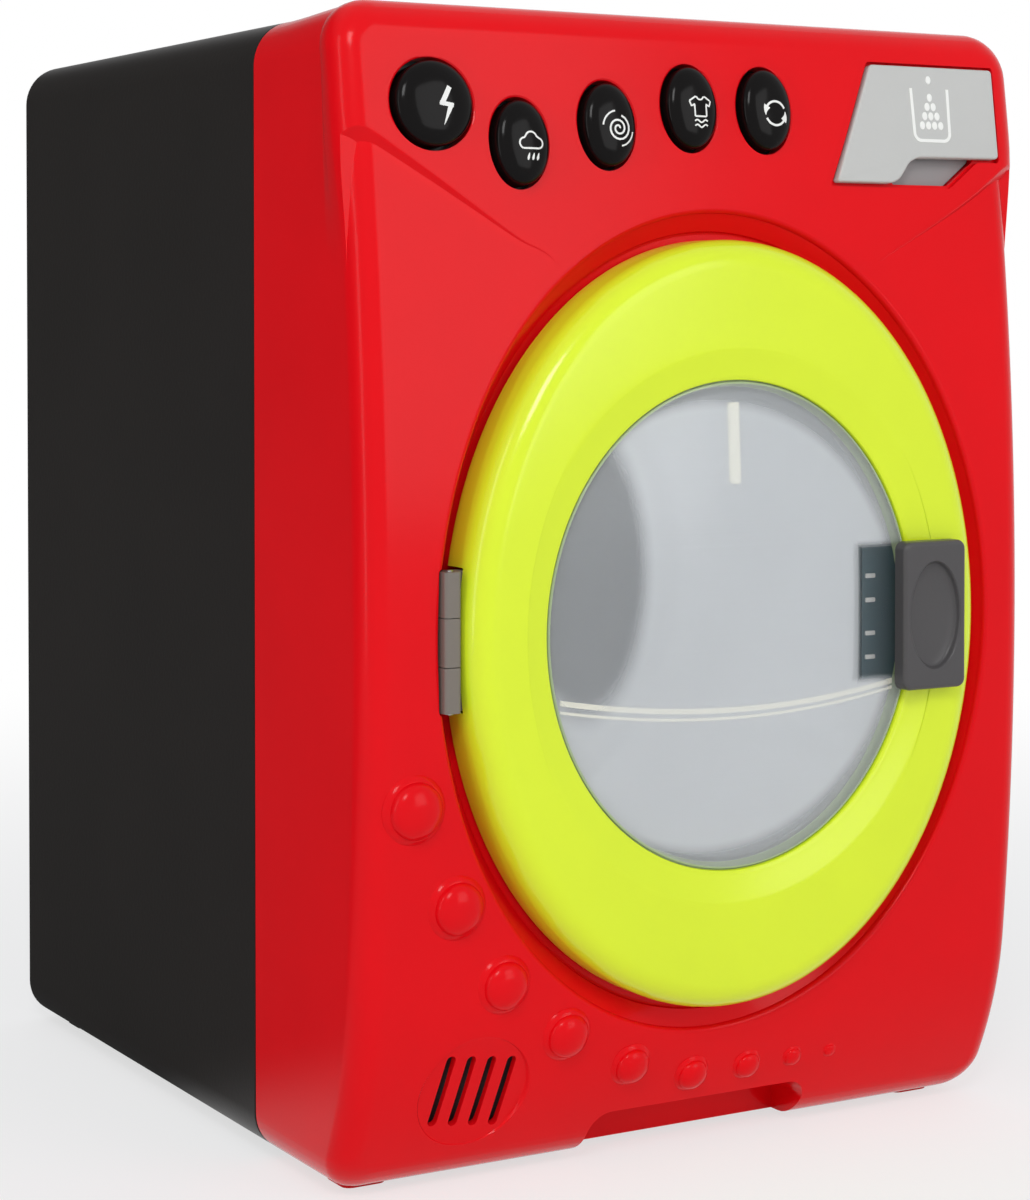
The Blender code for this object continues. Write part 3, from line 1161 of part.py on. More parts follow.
def latch():
    """The sliding handle, the bolt behind it, the housing that guides it and its spring."""
    right = HANDLE_LEFT + HANDLE_WIDTH
    low = DOOR_Z - HANDLE_HEIGHT / 2
    high = DOOR_Z + HANDLE_HEIGHT / 2
    front = RING_FRONT - HANDLE_PROUD
    handle = piece("latch_handle", soft_block((HANDLE_LEFT, front, low),
                                              (right, RING_FRONT - TOUCH_GAP, high),
                                              HANDLE_EDGE, "Y"), GREY, DOOR_PIVOT)
    centre_x = HANDLE_LEFT + HANDLE_WIDTH / 2
    cut(handle, oval(centre_x, DOOR_Z, (
        (DISH_HALF_WIDTH * 1.5, DISH_HALF_HEIGHT * 1.25, front - DISH_DEPTH / 2),
        (DISH_HALF_WIDTH, DISH_HALF_HEIGHT, front),
        (DISH_HALF_WIDTH * 0.7, DISH_HALF_HEIGHT * 0.8, front + DISH_DEPTH * 0.7),
        (DISH_HALF_WIDTH * 0.4, DISH_HALF_HEIGHT * 0.5, front + DISH_DEPTH),
    ), segments=DISC_SIDES))
    neck_left, neck_right = neck_span()
    join(handle, block((neck_left, front + HANDLE_PROUD / 2, DOOR_Z - NECK_HEIGHT / 2),
                       (neck_right, NECK_END, DOOR_Z + NECK_HEIGHT / 2)))
    leg_left, leg_right = leg_span()
    hook_rear = FLOOR_REAR + BOLT_NOSE
    bolt = piece("latch_bolt", block((leg_left, BOLT_FRONT, DOOR_Z - NECK_HEIGHT / 2),
                                     (neck_right, BOLT_REAR,
                                      DOOR_Z + NECK_HEIGHT / 2)), GREY, DOOR_PIVOT)
    leg_half = NECK_HEIGHT / 2 - RUN_GAP
    join(bolt, block((leg_left, BOLT_FRONT + BOLT_THICKNESS / 2, DOOR_Z - leg_half),
                     (leg_right, hook_rear, DOOR_Z + leg_half)))
    join(bolt, block((leg_right - BOLT_NOSE / 2, FLOOR_REAR + TOUCH_GAP, DOOR_Z - leg_half),
                     (leg_right + BOLT_NOSE, hook_rear, DOOR_Z + leg_half)))
    latch_housing()
    latch_spring()


def latch_housing():
    """The dark guide box seen through the window's edge, and the spring inside it."""
    half = LATCH_HOUSING_HEIGHT / 2
    rear = RETAINER_FRONT - TOUCH_GAP
    front = COLLAR_FRONT
    right = latch_right()
    housing = piece("latch_housing", block((LATCH_HOUSING_LEFT, front, DOOR_Z - half),
                                           (right, rear, DOOR_Z + half)), GREY, DOOR_PIVOT)
    inner_half = NECK_HEIGHT / 2 + RUN_GAP
    neck_left, neck_right = neck_span()
    cut(housing, block((LATCH_HOUSING_LEFT + LATCH_HOUSING_WALL, front + LATCH_HOUSING_WALL,
                        DOOR_Z - inner_half),
                       (neck_right + RUN_GAP, BOLT_REAR + TOUCH_GAP,
                        DOOR_Z + inner_half)))
    cut(housing, block((neck_left - LATCH_TRAVEL - RUN_GAP, front - OVERRUN, DOOR_Z - inner_half),
                       (neck_right + RUN_GAP, front + OVERRUN / 2, DOOR_Z + inner_half)))
    leg_left, leg_right = leg_span()
    cut(housing, block((leg_left - LATCH_TRAVEL - RUN_GAP, rear - OVERRUN / 2,
                        DOOR_Z - inner_half),
                       (leg_right + RUN_GAP, rear + OVERRUN, DOOR_Z + inner_half)))


def latch_spring():
    """The bolt's return spring: a coil along X, from the housing's left wall."""
    start = LATCH_HOUSING_LEFT + LATCH_HOUSING_WALL + TOUCH_GAP + SPRING_WIRE_RADIUS
    end = leg_span()[0] - LATCH_TRAVEL - TOUCH_GAP - SPRING_WIRE_RADIUS
    middle_y = (BOLT_FRONT + BOLT_REAR) / 2
    count = SPRING_TURNS * SPRING_STEPS
    curve = bpy.data.curves.new("latch_spring", "CURVE")
    curve.dimensions = "3D"
    curve.bevel_depth = SPRING_WIRE_RADIUS
    curve.bevel_resolution = 0
    curve.use_fill_caps = True
    spline = curve.splines.new("POLY")
    spline.points.add(count)
    for step in range(count + 1):
        angle = 2 * math.pi * step / SPRING_STEPS
        spline.points[step].co = (start + (end - start) * step / count,
                                  middle_y + SPRING_RADIUS * math.cos(angle),
                                  DOOR_Z + SPRING_RADIUS * math.sin(angle), 1)
    curve.materials.append(STEEL)
    made = bpy.data.objects.new("latch_spring", curve)
    bpy.context.collection.objects.link(made)
    turn_gap = (end - start) / SPRING_TURNS - 2 * SPRING_WIRE_RADIUS
    print(f"latch spring: {turn_gap / MM:.2f} mm between turns")


def drum_unit():
    """The drum with its lifters, shaft, large gear and clip."""
    front = DRUM_FRONT
    rear = front + DRUM_LENGTH
    inner = DRUM_RADIUS - DRUM_WALL
    bore = SHAFT_RADIUS + TOUCH_GAP
    drum = piece("drum", turned(DOOR_X, DOOR_Z, (
        (DRUM_RADIUS, front), (DRUM_RADIUS, rear - DRUM_WALL), (DRUM_RADIUS - DRUM_WALL, rear),
        (DRUM_HUB_RADIUS, rear), (DRUM_HUB_RADIUS, rear + DRUM_HUB_LENGTH),
        (bore, rear + DRUM_HUB_LENGTH), (bore, rear - DRUM_WALL),
        (inner - DRUM_WALL, rear - DRUM_WALL), (inner, rear - 2 * DRUM_WALL),
        (inner, front + DRUM_LIP), (inner - DRUM_LIP, front + DRUM_LIP / 2),
        (inner - DRUM_LIP, front),
    ), looped=True), WHITE, (DOOR_X, rear, DOOR_Z))
    length = LIFTER_LENGTH_SHARE * DRUM_LENGTH
    for index in range(LIFTER_COUNT):
        lifter = soft_block((-LIFTER_WIDTH / 2, rear - DRUM_WALL / 2 - length,
                             inner - LIFTER_HEIGHT),
                            (LIFTER_WIDTH / 2, rear - DRUM_WALL / 2, inner + DRUM_WALL / 3),
                            LIFTER_WIDTH / 4, "Y")
        turn = Matrix.Rotation(2 * math.pi * index / LIFTER_COUNT, 4, "Y")
        lifter.transform(Matrix.Translation((DOOR_X, 0, DOOR_Z)) @ turn)
        join(drum, lifter)
    axis = (DOOR_X, rear, DOOR_Z)
    piece("drum_shaft", rod(DOOR_X, DOOR_Z, SHAFT_RADIUS, rear - DRUM_WALL,
                            GEAR_START + GEAR_WIDTH + 3 * CLIP_THICKNESS), STEEL, axis)
    gear = piece("drum_gear", gear_solid(), LIGHT_GREY, axis)
    cut(gear, rod(DOOR_X, DOOR_Z, SHAFT_RADIUS + TOUCH_GAP, GEAR_START - OVERRUN,
                  GEAR_START + GEAR_WIDTH + OVERRUN))
    clip_start = GEAR_START + GEAR_WIDTH + TOUCH_GAP
    piece("shaft_clip", turned(DOOR_X, DOOR_Z, (
        (2 * SHAFT_RADIUS, clip_start), (2 * SHAFT_RADIUS, clip_start + CLIP_THICKNESS),
        (SHAFT_RADIUS + TOUCH_GAP, clip_start + CLIP_THICKNESS),
        (SHAFT_RADIUS + TOUCH_GAP, clip_start)), looped=True, segments=ROD_SIDES), STEEL, axis)


def involute(base_radius, radius):
    """The involute's turn from its base circle out to a radius."""
    if radius <= base_radius:
        return 0.0
    tangent = math.sqrt((radius / base_radius) ** 2 - 1)
    return tangent - math.atan(tangent)


def gear_outline(teeth, phase):
    """Points of a spur gear with involute flanks, thinned for backlash."""
    pitch = teeth * GEAR_MODULE / 2
    base = pitch * math.cos(GEAR_PRESSURE_ANGLE)
    tip = pitch + GEAR_MODULE * ADDENDUM_SHARE
    root = pitch - GEAR_MODULE * ADDENDUM_SHARE - GEAR_ROOT_GAP
    half_tooth = (math.pi * GEAR_MODULE / 2 - GEAR_BACKLASH) / 2 / pitch
    centre_turn = involute(base, pitch)
    points = []
    for tooth in range(teeth):
        middle = phase + 2 * math.pi * tooth / teeth
        flank = []
        for step in range(FLANK_STEPS + 1):
            start = max(root, base)
            radius = start + (tip - start) * step / FLANK_STEPS
            flank.append((radius, half_tooth + centre_turn - involute(base, radius)))
        foot_turn = half_tooth + centre_turn
        side = [(root, foot_turn)] + flank if root < base else flank
        points += [(radius, middle - turn) for radius, turn in side]
        points += [(radius, middle + turn) for radius, turn in reversed(side)]
    return [(radius * math.cos(angle), radius * math.sin(angle)) for radius, angle in points]


def gear_solid():
    """The large gear about the drum's axis, with one tooth towards the motor."""
    points = [(DOOR_X + x, DOOR_Z + z) for x, z in gear_outline(GEAR_TEETH, MOTOR_ANGLE)]
    return prism(points, GEAR_START, GEAR_START + GEAR_WIDTH)


def motor_centre():
    """The motor's axis, one centre distance from the drum's."""
    distance = (GEAR_TEETH + PINION_TEETH) * GEAR_MODULE / 2
    return (DOOR_X + distance * math.cos(MOTOR_ANGLE), DOOR_Z + distance * math.sin(MOTOR_ANGLE))


def motor_unit():
    """The motor, its shaft and pinion, and the bracket that holds it to the tub."""
    x, z = motor_centre()
    plate_start = GEAR_START + GEAR_WIDTH + 2 * MOTOR_PLATE
    plate_end = plate_start + MOTOR_PLATE
    axis = (x, GEAR_START, z)
    front = plate_end + TOUCH_GAP
    motor = piece("motor", turned(x, z, (
        (0, front + MOTOR_COLLAR), (MOTOR_SHAFT_RADIUS + TOUCH_GAP, front + MOTOR_COLLAR),
        (MOTOR_SHAFT_RADIUS + TOUCH_GAP, front - MOTOR_PLATE),
        (MOTOR_COLLAR, front - MOTOR_PLATE), (MOTOR_COLLAR, front), (MOTOR_RADIUS, front),
        (MOTOR_RADIUS, front + MOTOR_LENGTH), (MOTOR_COLLAR, front + MOTOR_LENGTH),
        (MOTOR_COLLAR, front + MOTOR_LENGTH + MOTOR_PLATE),
        (0, front + MOTOR_LENGTH + MOTOR_PLATE)), segments=DISC_SIDES), STEEL)
    for side in (-1, 1):
        middle = x + side * (MOTOR_FLAT_SHARE + 1) * MOTOR_RADIUS
        cut(motor, block((middle - MOTOR_RADIUS, front + TOUCH_GAP, z - 2 * MOTOR_RADIUS),
                         (middle + MOTOR_RADIUS, front + 2 * MOTOR_LENGTH, z + 2 * MOTOR_RADIUS)))
    piece("motor_shaft", rod(x, z, MOTOR_SHAFT_RADIUS, GEAR_START - TOUCH_GAP,
                             front + MOTOR_COLLAR - RUN_GAP, BOSS_SIDES), STEEL, axis)
    mesh_phase = MOTOR_ANGLE + math.pi + math.pi / PINION_TEETH
    points = [(x + px, z + pz) for px, pz in gear_outline(PINION_TEETH, mesh_phase)]
    pinion = piece("motor_pinion", prism(points, GEAR_START, GEAR_START + GEAR_WIDTH), BRASS, axis)
    cut(pinion, rod(x, z, MOTOR_SHAFT_RADIUS + TOUCH_GAP, GEAR_START - OVERRUN,
                    GEAR_START + GEAR_WIDTH + OVERRUN, BOSS_SIDES))
    half = MOTOR_MOUNT_REACH / math.sqrt(2) + MOTOR_POST_RADIUS
    bracket = piece("motor_bracket", soft_block((x - half, plate_start, z - half),
                                                (x + half, plate_end, z + half),
                                                MOTOR_POST_RADIUS, "Y"), GREY)
    cut(bracket, rod(x, z, MOTOR_COLLAR + TOUCH_GAP, plate_start - OVERRUN, plate_end + OVERRUN))
    for across, up in ((1, -1), (-1, 1)):
        reach = MOTOR_MOUNT_REACH / math.sqrt(2)
        join(bracket, rod(x + across * reach, z + up * reach, MOTOR_POST_RADIUS,
                          TUB_REAR_END + TOUCH_GAP, plate_start + MOTOR_PLATE / 2, BOSS_SIDES))


def tub_screw_places():
    """The four screws that hold the tub to the back of the door recess."""
    reach = TUB_RADIUS + TUB_EAR_RADIUS
    across, up = reach * math.sin(TUB_EAR_ANGLE), reach * math.cos(TUB_EAR_ANGLE)
    return [(DOOR_X + h * across, DOOR_Z + v * up) for v in (1, -1) for h in (-1, 1)]


def tub():
    """The tub round the drum, its rear wall, the bearing and the screws that hold it."""
    shell = piece("tub", turned(DOOR_X, DOOR_Z, (
        (TUB_RADIUS, TUB_FRONT), (TUB_RADIUS, TUB_REAR), (TUB_RADIUS - TUB_WALL, TUB_REAR),
        (TUB_RADIUS - TUB_WALL, TUB_FRONT + TUB_WALL),
        (MOUTH_HALF_WIDTH * 0.8, TUB_FRONT + TUB_WALL), (MOUTH_HALF_WIDTH * 0.8, TUB_FRONT),
    ), looped=True), LIGHT_GREY)
    ear_rear = FLOOR_REAR + TUB_BOSS_LENGTH + TOUCH_GAP + TUB_EAR_THICKNESS
    for x, z in tub_screw_places():
        reach = Vector((x - DOOR_X, z - DOOR_Z))
        inward = reach * ((TUB_RADIUS - TUB_WALL / 2) / reach.length - 1)
        arm = soft_block((-TUB_EAR_RADIUS, ear_rear - TUB_EAR_THICKNESS, -TUB_EAR_RADIUS),
                         (TUB_EAR_RADIUS, ear_rear, inward.length),
                         TUB_EAR_RADIUS * 0.6, "Y")
        turn = Matrix.Rotation(math.atan2(inward.x, inward.y), 4, "Y")
        arm.transform(Matrix.Translation((x, 0, z)) @ turn)
        join(shell, arm)
    for index, (x, z) in enumerate(tub_screw_places(), start=1):
        cut(shell, rod(x, z, SMALL_SHANK_RADIUS + TOUCH_GAP, ear_rear - OVERRUN,
                       ear_rear + OVERRUN, PILOT_SIDES))
        screw(f"tub_screw_{index}", Matrix.Translation((x, ear_rear + TOUCH_GAP, z)),
              SMALL_SCREW_HEAD_RADIUS, SMALL_SCREW_HEAD_HEIGHT, SMALL_SHANK_RADIUS,
              TUB_SCREW_LENGTH)
    cut(shell, oval(DOOR_X, DOOR_Z, (
        (MOUTH_HALF_WIDTH + RUN_GAP, MOUTH_HALF_HEIGHT + RUN_GAP, TUB_FRONT + OVERRUN),
        (MOUTH_HALF_WIDTH + RUN_GAP, MOUTH_HALF_HEIGHT + RUN_GAP, TUB_FRONT - OVERRUN))))
    piece("tub_rear", turned(DOOR_X, DOOR_Z, (
        (TUB_RADIUS, TUB_REAR + TOUCH_GAP), (TUB_RADIUS, TUB_REAR_END),
        (TUB_HUB_RADIUS, TUB_REAR_END), (TUB_HUB_RADIUS, TUB_HUB_REAR),
        (BEARING_RADIUS + TOUCH_GAP, TUB_HUB_REAR),
        (BEARING_RADIUS + TOUCH_GAP, TUB_REAR + TOUCH_GAP)), looped=True), LIGHT_GREY)
    piece("drum_bearing", turned(DOOR_X, DOOR_Z, (
        (BEARING_RADIUS, TUB_REAR + TOUCH_GAP), (BEARING_RADIUS, TUB_HUB_REAR),
        (SHAFT_RADIUS + TOUCH_GAP, TUB_HUB_REAR), (SHAFT_RADIUS + TOUCH_GAP, TUB_REAR + TOUCH_GAP),
    ), looped=True, segments=ROD_SIDES), BRASS)


def battery_pack():
    """The battery box inside the rear wall, three cells, two contact strips and the cover."""
    half = BOX_INNER_WIDTH / 2
    box_rear = REAR_Y - SHELL_WALL - TOUCH_GAP
    inner_front = box_rear - BOX_INNER_DEPTH
    low = BATTERY_BOX_BOTTOM
    inner_low = low + BATTERY_BOX_WALL
    inner_high = inner_low + BOX_INNER_HEIGHT
    box = piece("battery_box", block(
        (-half - BATTERY_BOX_WALL - COVER_EDGE, inner_front - BATTERY_BOX_WALL, low),
        (half + BATTERY_BOX_WALL + COVER_EDGE, box_rear,
         inner_high + BATTERY_BOX_WALL + COVER_TAB)), DARK)
    cut(box, block((-half, inner_front, inner_low), (half, box_rear + OVERRUN, inner_high)))
    screw_z = cover_screw_z()
    cut(box, rod(0, screw_z, SMALL_SHANK_RADIUS + TOUCH_GAP, box_rear - COVER_SCREW_LENGTH,
                 box_rear + OVERRUN, PILOT_SIDES))
    cell_y = box_rear - BOX_INNER_DEPTH / 2
    cell_low = inner_low + CONTACT_SPACE
    for index in range(CELL_COUNT):
        x = (index - (CELL_COUNT - 1) / 2) * CELL_PITCH
        turned_cell = turned(0, 0, (
            (0, 0), (CELL_RADIUS * 0.9, 0), (CELL_RADIUS, CELL_RADIUS * 0.08),
            (CELL_RADIUS, CELL_LENGTH - CELL_RADIUS * 0.08), (CELL_RADIUS * 0.9, CELL_LENGTH),
            (CELL_TIP_RADIUS, CELL_LENGTH), (CELL_TIP_RADIUS, CELL_LENGTH + CELL_TIP_LENGTH),
            (0, CELL_LENGTH + CELL_TIP_LENGTH)), segments=ROD_SIDES)
        flip = index % 2 == 0
        angle = math.radians(90 if flip else -90)
        start = cell_low if flip else cell_low + CELL_LENGTH + CELL_TIP_LENGTH
        turned_cell.transform(Matrix.Translation((x, cell_y, start))
                              @ Matrix.Rotation(angle, 4, "X"))
        piece(f"battery_{index + 1}", turned_cell, CELL)
    for name, z in (("battery_contact_lower", inner_low + TOUCH_GAP),
                    ("battery_contact_upper", inner_high - TOUCH_GAP - CONTACT_THICKNESS)):
        strip = piece(name, block((-half + TOUCH_GAP, inner_front + TOUCH_GAP, z),
                                  (half - TOUCH_GAP, box_rear - 2 * COVER_EDGE,
                                   z + CONTACT_THICKNESS)), STEEL)
        rise = CONTACT_SPACE - CONTACT_THICKNESS - 2 * TOUCH_GAP
        for index in range(CELL_COUNT):
            x = (index - (CELL_COUNT - 1) / 2) * CELL_PITCH
            start = z + CONTACT_THICKNESS / 2
            up = 1 if name.endswith("lower") else -1
            spots = sorted((start, start + up * (rise + CONTACT_THICKNESS / 2)))
            join(strip, upright_rod(x, cell_y, CELL_TIP_RADIUS, *spots, BOSS_SIDES))
    cover()


def cover_screw_z():
    """The height of the cover's screw, in the tab above the cells."""
    return COVER_BOTTOM + COVER_HEIGHT - 2 * COVER_EDGE


def cover():
    """The battery cover, flush in the rear wall, with its finger grips and screw."""
    pivot = (0, REAR_Y, COVER_BOTTOM + COVER_HEIGHT / 2)
    half = COVER_WIDTH / 2
    made = piece("battery_cover", soft_block(
        (-half, REAR_Y - SHELL_WALL, COVER_BOTTOM),
        (half, REAR_Y, COVER_BOTTOM + COVER_HEIGHT), RIB_THICKNESS / 2, "Y"), DARK, pivot)
    z = cover_screw_z()
    cut(made, rod(0, z, SMALL_SHANK_RADIUS + TOUCH_GAP, REAR_Y - OVERRUN, REAR_Y + OVERRUN,
                  PILOT_SIDES))
    seat = REAR_Y - SMALL_SCREW_HEAD_HEIGHT
    cut(made, rod(0, z, SMALL_SCREW_HEAD_RADIUS + TOUCH_GAP, seat - TOUCH_GAP,
                  REAR_Y + OVERRUN, BOSS_SIDES))
    for index in range(COVER_GRIP_COUNT):
        grip = COVER_BOTTOM + 2 * COVER_EDGE + index * COVER_GRIP_PITCH
        cut(made, block((-COVER_GRIP_WIDTH / 2, REAR_Y - COVER_GRIP_DEPTH, grip),
                        (COVER_GRIP_WIDTH / 2, REAR_Y + OVERRUN, grip + COVER_GRIP_PITCH / 2)))
    screw("battery_cover_screw", Matrix.Translation((0, seat, z)), SMALL_SCREW_HEAD_RADIUS,
          SMALL_SCREW_HEAD_HEIGHT, SMALL_SHANK_RADIUS, COVER_SCREW_LENGTH - RUN_GAP)


front_casing()
rear_casing()
casing_screws()
buttons()
control_board()
speaker()
detergent_drawer()
door_ring()
door_window()
door_retainer()
hinge()
latch()
tub()
drum_unit()
motor_unit()
battery_pack()
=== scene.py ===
# Toy washing machine, dressed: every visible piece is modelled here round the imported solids, in
# the order in which the toy is put together. Metres, +Z up, the front faces -Y.
import json
import math

import bpy
from mathutils import Matrix, Vector


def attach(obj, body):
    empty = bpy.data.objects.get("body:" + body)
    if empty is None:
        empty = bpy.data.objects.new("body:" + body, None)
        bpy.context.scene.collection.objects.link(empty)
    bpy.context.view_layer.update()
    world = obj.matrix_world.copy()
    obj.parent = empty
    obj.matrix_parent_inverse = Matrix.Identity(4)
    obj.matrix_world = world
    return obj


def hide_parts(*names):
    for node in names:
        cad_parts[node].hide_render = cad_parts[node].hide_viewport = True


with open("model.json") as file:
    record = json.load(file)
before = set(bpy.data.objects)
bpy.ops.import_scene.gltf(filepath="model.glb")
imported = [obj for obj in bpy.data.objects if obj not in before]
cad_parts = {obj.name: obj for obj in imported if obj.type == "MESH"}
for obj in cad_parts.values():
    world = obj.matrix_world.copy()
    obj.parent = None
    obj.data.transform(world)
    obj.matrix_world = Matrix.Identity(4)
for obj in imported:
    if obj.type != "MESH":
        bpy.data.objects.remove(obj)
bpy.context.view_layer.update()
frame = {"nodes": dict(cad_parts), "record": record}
MM = 0.001


# Camera and studio. A long lens looks at the machine from the left and a little above its middle.
# The floor is a pale sheet that fades into the background, lit by the sky and three soft boxes.
CAMERA_PLACE = (-0.3427, -0.5983, 0.1865)
CAMERA_YAW = 30.02
CAMERA_DROP = 1.364
CAMERA_LENS = 84.84
CAMERA_RISE = -0.19
CARD_WAY, CARD_START, CARD_FULL, CARD_SHADE = (-0.55, 0.83, 0), 0.3, 0.8, 0.06
SKY_COLOUR, SKY_STRENGTH = (0.93, 0.96, 1.0, 1), 0.5
WHITE = (1, 1, 1, 1)
FLOOR_SIZE, FADE_START, FADE_END, FADE_NEAR = 8, 0.16, 0.75, 0.66

lens = bpy.data.cameras.new("camera")
lens.sensor_fit = "VERTICAL"
lens.sensor_height = 36
lens.lens = CAMERA_LENS
lens.shift_y = CAMERA_RISE
lens.clip_start = 0.01
camera = bpy.data.objects.new("camera", lens)
camera.location = CAMERA_PLACE
camera.rotation_euler = (math.radians(90 - CAMERA_DROP), 0, math.radians(-CAMERA_YAW))
bpy.context.scene.collection.objects.link(camera)
bpy.context.scene.camera = camera
bpy.context.scene.view_settings.view_transform = "Standard"


def colour(red, green, blue):
    """A colour given as 0 to 255 on screen, for a shader's socket."""
    parts = [value / 255 for value in (red, green, blue)]
    return [p / 12.92 if p <= 0.04045 else ((p + 0.055) / 1.055) ** 2.4 for p in parts] + [1]


def node(tree, kind, inputs=(), **settings):
    """Adds a shader node. An input is given a value, or another node's output to link."""
    made = tree.nodes.new("ShaderNode" + kind)
    for name, value in settings.items():
        setattr(made, name, value)
    for name, value in dict(inputs).items():
        if isinstance(value, bpy.types.NodeSocket):
            tree.links.new(value, made.inputs[name])
        else:
            made.inputs[name].default_value = value
    return made


def worked(tree, operation, *values):
    """The result of one step of arithmetic on values or outputs."""
    return node(tree, "Math", dict(enumerate(values)), operation=operation).outputs[0]


def ramped(tree, value, start, end, low, high):
    """A smooth change from low to high while a value goes from start to end."""
    ramp = node(tree, "MapRange", {"Value": value, "From Min": start, "From Max": end,
                                   "To Min": low, "To Max": high},
                interpolation_type="SMOOTHSTEP")
    return ramp.outputs["Result"]


def seen_white(tree, socket):
    """Where a surface shows plain white: to the camera, through glass, and in gloss except behind
    the machine's left, where gloss is dimmed as if a dark card stood there. The coordinate socket
    gives the direction."""
    path = node(tree, "LightPath").outputs
    way = node(tree, "VectorMath", {0: node(tree, "TexCoord").outputs[socket]},
               operation="NORMALIZE")
    card = node(tree, "VectorMath", {0: way.outputs["Vector"], 1: CARD_WAY},
                operation="DOT_PRODUCT")
    shade = ramped(tree, card.outputs["Value"], CARD_START, CARD_FULL, 1, CARD_SHADE)
    mirrored = worked(tree, "MULTIPLY", path["Is Glossy Ray"], shade)
    gloss = worked(tree, "MAXIMUM", mirrored, path["Is Transmission Ray"])
    return worked(tree, "MAXIMUM", path["Is Camera Ray"], gloss), path["Is Glossy Ray"], shade


world = bpy.data.worlds.new("studio")
bpy.context.scene.world = world
world.use_nodes = True
sky = world.node_tree
sky.nodes.clear()
seen, in_gloss, beside_card = seen_white(sky, "Generated")
dimmed = node(sky, "Mix", {"Factor": in_gloss, "A": SKY_STRENGTH,
                           "B": worked(sky, "MULTIPLY", beside_card, SKY_STRENGTH)})
even = node(sky, "Background", {"Color": SKY_COLOUR, "Strength": dimmed.outputs["Result"]})
white = node(sky, "Background", {"Color": WHITE, "Strength": 1})
mixed = node(sky, "MixShader", {0: seen, 1: even.outputs[0], 2: white.outputs[0]})
node(sky, "OutputWorld", {"Surface": mixed.outputs[0]})

bpy.ops.object.select_all(action="DESELECT")
bpy.ops.mesh.primitive_plane_add(size=FLOOR_SIZE, location=(0, 0, 0))
floor = bpy.context.object
floor.name = "floor_sheet"
sheet = bpy.data.materials.new("white floor sheet")
sheet.use_nodes = True
tree = sheet.node_tree
paper = tree.nodes["Principled BSDF"]
paper.inputs["Base Color"].default_value = colour(240, 240, 241)
paper.inputs["Roughness"].default_value = 0.7
seen, in_gloss, beside_card = seen_white(tree, "Object")
card_seen = worked(tree, "MULTIPLY", in_gloss, worked(tree, "SUBTRACT", 1, beside_card))
card_dark = node(tree, "Emission", {"Color": (0.03, 0.03, 0.03, 1)})
covered = node(tree, "MixShader", {0: card_seen, 1: paper.outputs[0], 2: card_dark.outputs[0]})
spot = node(tree, "TexCoord").outputs["Object"]
away = node(tree, "VectorMath", {0: spot}, operation="LENGTH").outputs["Value"]
far = worked(tree, "MULTIPLY", ramped(tree, away, FADE_START, FADE_END, FADE_NEAR, 1), seen)
glow = node(tree, "Emission", {"Color": WHITE, "Strength": 1})
blend = node(tree, "MixShader", {0: far, 1: covered.outputs[0], 2: glow.outputs[0]})
tree.links.new(blend.outputs[0], tree.nodes["Material Output"].inputs["Surface"])
floor.data.materials.append(sheet)


def soft_box(name, place, aim, size, watts):
    """A square lamp with a diffuser, turned to its aim."""
    lamp = bpy.data.lights.new(name, "AREA")
    lamp.shape = "RECTANGLE"
    lamp.size, lamp.size_y = size
    lamp.energy = watts
    stand = bpy.data.objects.new(name, lamp)
    stand.location = place
    stand.rotation_euler = (Vector(aim) - Vector(place)).to_track_quat("-Z", "Y").to_euler()
    bpy.context.scene.collection.objects.link(stand)


soft_box("key_box", (-0.55, -0.9, 0.85), (0, -0.05, 0.12), (0.26, 0.34), 4.2)
soft_box("front_box", (0.45, -1.3, 0.5), (0, 0, 0.12), (0.6, 0.8), 3.6)
soft_box("side_strip", (-1.0, -0.35, 0.35), (0, -0.05, 0.12), (0.14, 0.9), 1.3)


# Red front shell. One moulding in glossy ABS: a crowned front that sweeps under at the bottom, a
# control panel that swells out above a crease, and a dished recess round the door. The five
# button holes, drawer pocket, speaker slots, bubbles, hinge pocket and finger notch are in it.
HALF_WIDTH, LOW, TOP = 85.5 * MM, 1.5 * MM, 248 * MM
CROWN_Y, CROWN_Z, CROWN_RADIUS = -93 * MM, 117.5 * MM, 790 * MM
SWEEP_START, SWEEP_RADIUS = 41 * MM, 90 * MM
SEAM_Y, SEAM_HALF = -40 * MM, 0.15 * MM
TOP_CORNER, BOTTOM_CORNER, FRONT_EDGE = 10 * MM, 9 * MM, 6 * MM
SHELL_WALL = 2.4 * MM
STRIP = 3 * MM
SWELL, SWELL_LOW, SWELL_HIGH = 1.8 * MM, 191 * MM, 225 * MM
SWELL_SIDE, SWELL_TOP, SWELL_REACH = 2.4 * MM, 1.25 * MM, 14 * MM
SWELL_FRONT, SIDE_SWELL_REAR, TOP_SWELL_REAR, TOP_SWELL_LONG = -86 * MM, -60 * MM, -40 * MM, 34 * MM
CROWN_REAR, PANEL_BLEND_REAR, PANEL_BLEND_LONG = -80 * MM, -72 * MM, 15 * MM
PANEL_FOOT, PANEL_SLICES = 165 * MM, range(-84, -41, 3)
CREASE = ((-94, 225.1), (-85.5, 223.9), (-79.5, 221), (-66.7, 213.1), (-55.6, 205.9),
          (-47, 200.4), (-41, 197.7), (-25.6, 189.8), (32.5, 189.8), (48.7, 198),
          (74.4, 212.6), (94, 228.2))
CREASE_ROUND = ((-0.8, -0.15), (0, 0), (0.25, 0.08), (0.5, 0.26), (0.8, 0.56), (1.2, 0.98),
                (2.1, 1.9), (3.2, 3.0))
CUTTER_SKIRT, CUTTER_SKIRT_DEEP, CUTTER_FOOT = 60, 8, 155
DOOR_X, DOOR_Z = 2.5 * MM, 117.5 * MM
RECESS_HALF = (67.5 * MM, 85 * MM)
